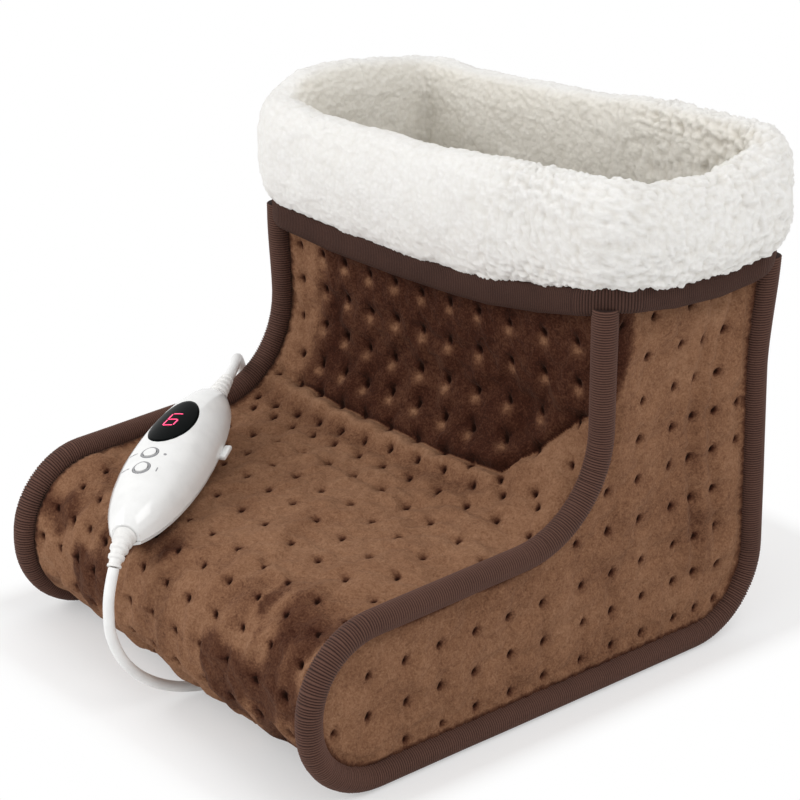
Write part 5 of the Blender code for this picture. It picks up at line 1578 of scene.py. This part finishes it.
@dataclass
class Cords:
    """The boot's lead, and the mains lead with its stored coil and plug."""

    control: ControlPlace
    finish: PlasticFinish
    diameter: float = 0.006
    coil_spot: tuple[float, float] = (0.026, 0.206)
    coil_radii: tuple[float, float, float] = (0.040, 0.034, 0.028)
    coil_level: float = 0.0051
    inlet_tip: tuple[float, float, float] = (-0.1428, 0.12175, 0.0214)
    plug_spot: tuple[float, float, float] = (-0.040, 0.246, 0.00685)
    plug_tail: float = 0.022
    boot_length: float = 0.535
    mains_length: float = 1.587

    def curve(self, name: str, line: Points, material: bpy.types.Material) -> bpy.types.Object:
        """Make a round cord along a line."""
        data = bpy.data.curves.new(name, "CURVE")
        data.dimensions = "3D"
        data.bevel_depth = self.diameter / 2
        data.bevel_resolution = 4
        data.use_fill_caps = True
        spline = data.splines.new("POLY")
        spline.points.add(len(line) - 1)
        for vertex, point in zip(spline.points, line):
            vertex.co = (*point, 1)
        spline.use_smooth = True
        data.materials.append(material)
        return add_item(name, data)

    def coil_points(self) -> list[Vector]:
        """Turns of the stored coil, from its right side round to its back, in two layers."""
        outer, middle, inner = self.coil_radii
        radii = (outer, middle, inner, inner, middle, outer)
        points = []
        for count in range(1, int(5.25 * 24)):
            turns = count / 24
            number = int(turns)
            share = float(soft_step(np.array(turns - number), 0.72, 1.0))
            following = radii[min(number + 1, 5)]
            radius = radii[number] + (following - radii[number]) * share
            layer = 0.0 if number < 2 else (share if number == 2 else 1.0)
            angle = 2 * math.pi * turns
            points.append(Vector((self.coil_spot[0] + radius * math.cos(angle),
                                  self.coil_spot[1] + radius * math.sin(angle),
                                  self.coil_level + self.diameter * layer)))
        return points

    def build(self) -> None:
        """Make both cords."""
        material = self.finish.material()
        inlet = along((self.inlet_tip[0], self.inlet_tip[1] - 0.026, self.inlet_tip[2]), (0, 1, 0))
        upper = self.control.relief(self.control.upper, 1)
        route = tip_points(inlet, 0.026) + list(BOOT_LEAD_ROUTE)
        route += tip_points(upper, self.control.relief_length)[::-1]
        line = smooth_route(route, 0.0035)
        lead = self.curve("boot_cord", line, material)
        dress(lead, ["boot_lead"])
        LOG.info("boot cord %.4f m", length_of(line))
        level = self.coil_level
        x, y = self.coil_spot
        outer = self.coil_radii[0]
        arrival = [Vector((x + outer, y - away, level)) for away in (0.0285, 0.0225, 0.012, 0.0)]
        tail = Matrix.Translation(self.plug_spot) @ along((0, 0, 0), (1, 0, 0))
        leave = [Vector((x - away, y + outer, level + rise))
                 for away, rise in ((0.0, self.diameter), (0.010, 0.0052), (0.022, 0.0032))]
        route = tip_points(self.control.bent(self.control.relief_length), 0.0) + list(MAINS_LEAD_ROUTE)
        route += arrival + self.coil_points() + leave + tip_points(tail, self.plug_tail)[::-1]
        line = smooth_route(route, 0.0030)
        mains = self.curve("mains_cord", line, material)
        dress(mains, ["mains_lead", "mains_coil", "plug_lead"])
        LOG.info("mains cord %.4f m", length_of(line))


# ---------------------------------------------------------------- hand control


class Part(Enum):
    """Segments of a seven-segment figure, as (middle across, middle up, lies flat)."""

    TOP = (0.0, 1.0, True)
    MIDDLE = (0.0, 0.0, True)
    BOTTOM = (0.0, -1.0, True)
    LEFT_UP = (-1.0, 0.5, False)
    RIGHT_UP = (1.0, 0.5, False)
    LEFT_DOWN = (-1.0, -0.5, False)
    RIGHT_DOWN = (1.0, -0.5, False)


@dataclass
class Control:
    """What shows on the hand control's face besides its CAD nodes."""

    place: ControlPlace
    window: tuple[float, float] = (-0.0038, 0.0246)
    buttons: tuple[tuple[float, float], ...] = ((-0.0028, -0.0106), (-0.0028, -0.0238))
    figure: tuple[Part, ...] = (Part.TOP, Part.LEFT_UP, Part.MIDDLE, Part.LEFT_DOWN, Part.RIGHT_DOWN,
                                Part.BOTTOM)
    figure_half: tuple[float, float] = (0.0031, 0.0064)
    stroke: float = 0.00075
    glass_step: tuple[float, float] = (0.0016, -0.0010)
    glass_half: tuple[float, float] = (0.0124, 0.0240)
    dash_half: tuple[float, float] = (0.0026, 0.00022)
    dash_step: tuple[float, float] = (-0.0098, 0.0006)
    dot_half: tuple[float, float] = (0.0009, 0.0009)
    bar_half: tuple[float, float] = (0.0003, 0.0016)
    mark_step: tuple[float, float] = (0.0088, 0.0)

    def patch(self, outline: Points, rise: float, thick: float) -> tuple[Points, list]:
        """Thin solid that lies on the face, over a flat outline.

        Args:
            outline: closed outline in the control's own X and Y.
            rise: how far its top stands over the face.
            thick: its thickness.

        Returns:
            Its points in the control's own axes, and its faces.
        """
        count = len(outline)
        points = []
        for lift in (rise, rise - thick):
            for x, y in outline:
                points.append((x, y, self.place.face(x, y) + lift))
        faces = [tuple(range(count)), tuple(range(2 * count - 1, count - 1, -1))]
        faces += [(index, index + count, (index + 1) % count + count, (index + 1) % count)
                  for index in range(count)]
        return np.array(points), faces

    def placed(self, points: Iterable[Sequence[float]]) -> Points:
        """Places on the boot of points in the control's own axes."""
        place = self.place.matrix()
        return as_rows(place @ Vector(point) for point in points)

    def decal(self, name: str, outlines: Sequence[Points], rise: float, thick: float,
              material: bpy.types.Material) -> bpy.types.Object:
        """Make one piece of several thin solids on the face."""
        points, faces, start = [], [], 0
        for outline in outlines:
            spots, sides = self.patch(resample(outline, 0.0006, True), rise, thick)
            points.append(spots)
            faces += [tuple(index + start for index in side) for side in sides]
            start += len(spots)
        item = new_mesh(name, self.placed(np.vstack(points)), faces, material, False)
        fix_normals(item)
        return dress(item)

    def glass(self, outline: Points, material: bpy.types.Material) -> None:
        """Make the dark window: rings of points inside its outline follow the face."""
        middle = outline.mean(0)
        rings = [middle + (outline - middle) * share for share in (1.0, 0.985, 0.9, 0.75, 0.55, 0.3)]
        lifts = (-0.0010, 0.00022, 0.00028, 0.0003, 0.0003, 0.0003)
        points = [(x, y, self.place.face(x, y) + lift) for ring, lift in zip(rings, lifts) for x, y in ring]
        count = len(outline)
        points.append((*middle, self.place.face(*middle) + lifts[-1]))
        points += [(x, y, self.place.face(x, y) - 0.0014) for x, y in outline]
        faces = [tuple(face) for face in grid_faces(len(rings), count, False, True)]
        last, under = (len(rings) - 1) * count, len(rings) * count + 1
        for index in range(count):
            after = (index + 1) % count
            faces += [(last + index, last + after, len(rings) * count),
                      (index, under + index, under + after, after)]
        faces.append(tuple(range(under, under + count)))
        item = new_mesh("display_glass", self.placed(points), faces, material, True)
        fix_normals(item)
        dress(item, ["display_lens"])

    def segment(self, part: Part) -> Points:
        """Outline of one lit segment, with pointed ends."""
        across, up, flat = part.value
        x = self.window[0] + across * self.figure_half[0]
        y = self.window[1] + up * self.figure_half[1]
        half = (self.figure_half[0] if flat else self.figure_half[1] / 2) - 0.0003
        side = self.stroke / 2
        outline = [(-half, 0), (-half + side, -side), (half - side, -side), (half, 0), (half - side, side),
                   (-half + side, side)]
        if not flat:
            outline = [(-b, a) for a, b in outline]
        return np.array([(x + a + 0.12 * (b + up * self.figure_half[1]), y + b) for a, b in outline])

    def build(self) -> None:
        """Dress the face."""
        lit = DisplayFinish().material()
        grey = PlasticFinish("grey_print", (0.30, 0.30, 0.31), 0.5).material()
        black = PlasticFinish("black_glass", BLACK, 0.30, shine=0.02).material()
        self.window = (self.window[0] + self.glass_step[0], self.window[1] + self.glass_step[1])
        self.glass(oval(self.glass_half, 64) + np.array(self.window), black)
        self.decal("display_figure", [self.segment(part) for part in self.figure], 0.00042, 0.0002, lit)
        upper, lower = np.array(self.buttons)
        marks = [oblong(self.dash_half) + spot + self.dash_step for spot in (upper, lower)]
        marks.append(oval(self.dot_half, 16) + (upper + self.mark_step))
        marks.append(oblong(self.bar_half) + (lower + self.mark_step))
        self.decal("face_marks", marks, 0.00006, 0.0003, grey)


# ---------------------------------------------------------------- CAD nodes that stay


JOIN = 0.000002


def soft_shading(limit: float = math.radians(32)) -> bpy.types.NodeTree:
    """Modifier group that shades a mesh smoothly, apart from edges sharper than a limit."""
    group = bpy.data.node_groups.new("soft_shading", "GeometryNodeTree")
    group.interface.new_socket("Geometry", in_out="INPUT", socket_type="NodeSocketGeometry")
    group.interface.new_socket("Geometry", in_out="OUTPUT", socket_type="NodeSocketGeometry")
    last = group.nodes.new("NodeGroupInput").outputs[0]
    steps = (("GeometryNodeMergeByDistance", {"Distance": JOIN}, {}),
             ("GeometryNodeRemoveAttribute", {"Name": "custom_normal"}, {}),
             ("GeometryNodeSetShadeSmooth", {}, {"domain": "FACE"}),
             ("GeometryNodeSetShadeSmooth", {"Shade Smooth": False}, {"domain": "EDGE"}))
    for kind, values, settings in steps:
        step = group.nodes.new(kind)
        for name, value in settings.items():
            setattr(step, name, value)
        for name, value in values.items():
            step.inputs[name].default_value = value
        group.links.new(last, step.inputs["Geometry"])
        last = step.outputs["Geometry"]
    angle = group.nodes.new("GeometryNodeInputMeshEdgeAngle")
    compare = group.nodes.new("FunctionNodeCompare")
    compare.operation = "GREATER_THAN"
    compare.inputs[1].default_value = limit
    group.links.new(angle.outputs["Unsigned Angle"], compare.inputs[0])
    group.links.new(compare.outputs[0], step.inputs["Selection"])
    group.links.new(last, group.nodes.new("NodeGroupOutput").inputs[0])
    return group


class NodeFinishes:
    """Better materials for the CAD nodes that keep their shape."""

    GLOSSY = ("control_top", "control_base", "button_upper", "button_lower")

    def __init__(self) -> None:
        """Make the finishes."""
        finishes: dict[str, Finish] = {
            "white_plastic": PlasticFinish("soft_white", (0.82, 0.81, 0.79), 0.42),
            "dark_window": PlasticFinish("black_window", BLACK, 0.30, shine=0.02),
            "grey_ring": PlasticFinish("grey_ring", (0.30, 0.30, 0.31), 0.4),
            "board": PlasticFinish("green_board", (0.02, 0.16, 0.06), 0.35),
            "yellow_part": PlasticFinish("yellow_part", (0.75, 0.52, 0.05), 0.4),
            "black_part": PlasticFinish("black_part", (0.015, 0.015, 0.016), 0.45),
            "glass_fuse": PlasticFinish("glass_fuse", (0.55, 0.60, 0.58), 0.08),
            "brass": MetalFinish("plated_brass", (0.72, 0.60, 0.36), 0.28),
            "steel": MetalFinish("steel", (0.60, 0.60, 0.61), 0.30),
            "wire_red": PlasticFinish("red_wire", (0.55, 0.03, 0.02), 0.4),
            "sleeve": PlasticFinish("glass_sleeve", (0.78, 0.78, 0.74), 0.7),
            "foam": ClothFinish("sole_foam", (0.75, 0.72, 0.62), 500),
            "carrier": ClothFinish("carrier_cloth", (0.80, 0.80, 0.76)),
        }
        self.by_slot = {slot: finish.material() for slot, finish in finishes.items()}
        self.gloss = PlasticFinish("gloss_white", (0.84, 0.84, 0.83), 0.16, coat=0.4).material()

    def build(self) -> None:
        """Assign each shown node's material by its slot, and shade it smoothly."""
        shading = soft_shading()
        for name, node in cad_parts.items():
            node.modifiers.new("soft_shading", "NODES").node_group = shading
            slot_name = node.material_slots[0].material.name if node.material_slots else ""
            material = self.by_slot.get(slot_name.split(".")[0])
            if name in self.GLOSSY:
                material = self.gloss
            if material is None:
                continue
            if not node.material_slots:
                node.data.materials.append(material)
            for slot in node.material_slots:
                slot.material = material


# ---------------------------------------------------------------- studio


@dataclass
class Studio:
    """Floor, lamps, world and camera, as the photograph was taken."""

    eye: tuple[float, float, float] = (1.0058, -0.8271, 0.6891)
    sight: tuple[float, float, float] = (-0.7052, 0.5911, -0.3916)
    roll: float = math.radians(-0.18)
    lens: float = 117.0
    ambient: float = 0.72
    aim: tuple[float, float, float] = (0.0, 0.0, 0.1)
    floor_half: float = 4.0

    def floor(self) -> None:
        """White floor."""
        points = np.column_stack([oblong((self.floor_half, self.floor_half)), np.zeros(4)])
        item = new_mesh("studio_floor", points, [(0, 1, 2, 3)], FloorFinish().material(), False)

    def world(self) -> None:
        """White surroundings that light the object softly."""
        world = bpy.data.worlds.new("studio")
        bpy.context.scene.world = world
        shader = Shader(world)
        light = shader.glow("ShaderNodeBackground", self.ambient)
        inputs = {0: shader.white_rays(), 1: light, 2: shader.glow("ShaderNodeBackground")}
        shader.show(shader.node("ShaderNodeMixShader", {}, inputs), "ShaderNodeOutputWorld")

    def lamp(self, name: str, spot: Sequence[float], size: float, power: float) -> None:
        """Square soft lamp aimed at the boot."""
        data = bpy.data.lights.new(name, "AREA")
        data.shape = "SQUARE"
        data.size = size
        data.energy = power
        item = add_item(name, data)
        item.location = spot
        item.rotation_euler = (Vector(self.aim) - Vector(spot)).to_track_quat("-Z", "Y").to_euler()

    def camera(self) -> None:
        """Camera at the photograph's view."""
        data = bpy.data.cameras.new("camera")
        data.sensor_width = 36
        data.lens = self.lens
        data.clip_start = 0.05
        data.clip_end = 50
        item = add_item("camera", data)
        turn = Vector(self.sight).to_track_quat("-Z", "Y").to_matrix().to_4x4()
        item.matrix_world = Matrix.Translation(self.eye) @ turn @ Matrix.Rotation(self.roll, 4, "Z")
        bpy.context.scene.camera = item

    def build(self) -> None:
        """Set the studio up."""
        self.floor()
        self.world()
        self.lamp("key", (0.9, 0.15, 1.35), 0.9, 7)
        self.lamp("fill", (-0.7, -1.3, 1.0), 1.2, 11)
        self.camera()
        bpy.context.scene.view_settings.view_transform = "Standard"


def main() -> None:
    """Build the model piece by piece."""
    logging.basicConfig(level=logging.INFO, format="%(message)s")
    seam = SeamLine()
    control = ControlPlace()
    Studio().build()
    Cords(control, PlasticFinish("white_cord", (0.86, 0.86, 0.85), 0.4)).build()
    NodeFinishes().build()
    Control(control).build()
    Tape(seam, TapeFinish()).build()
    Plush(seam, PlushFinish(), ClothFinish("sole_cloth", (0.05, 0.03, 0.025))).build()
    Fleece(seam, FleeceFinish()).build()


if __name__ == "__main__":
    main()
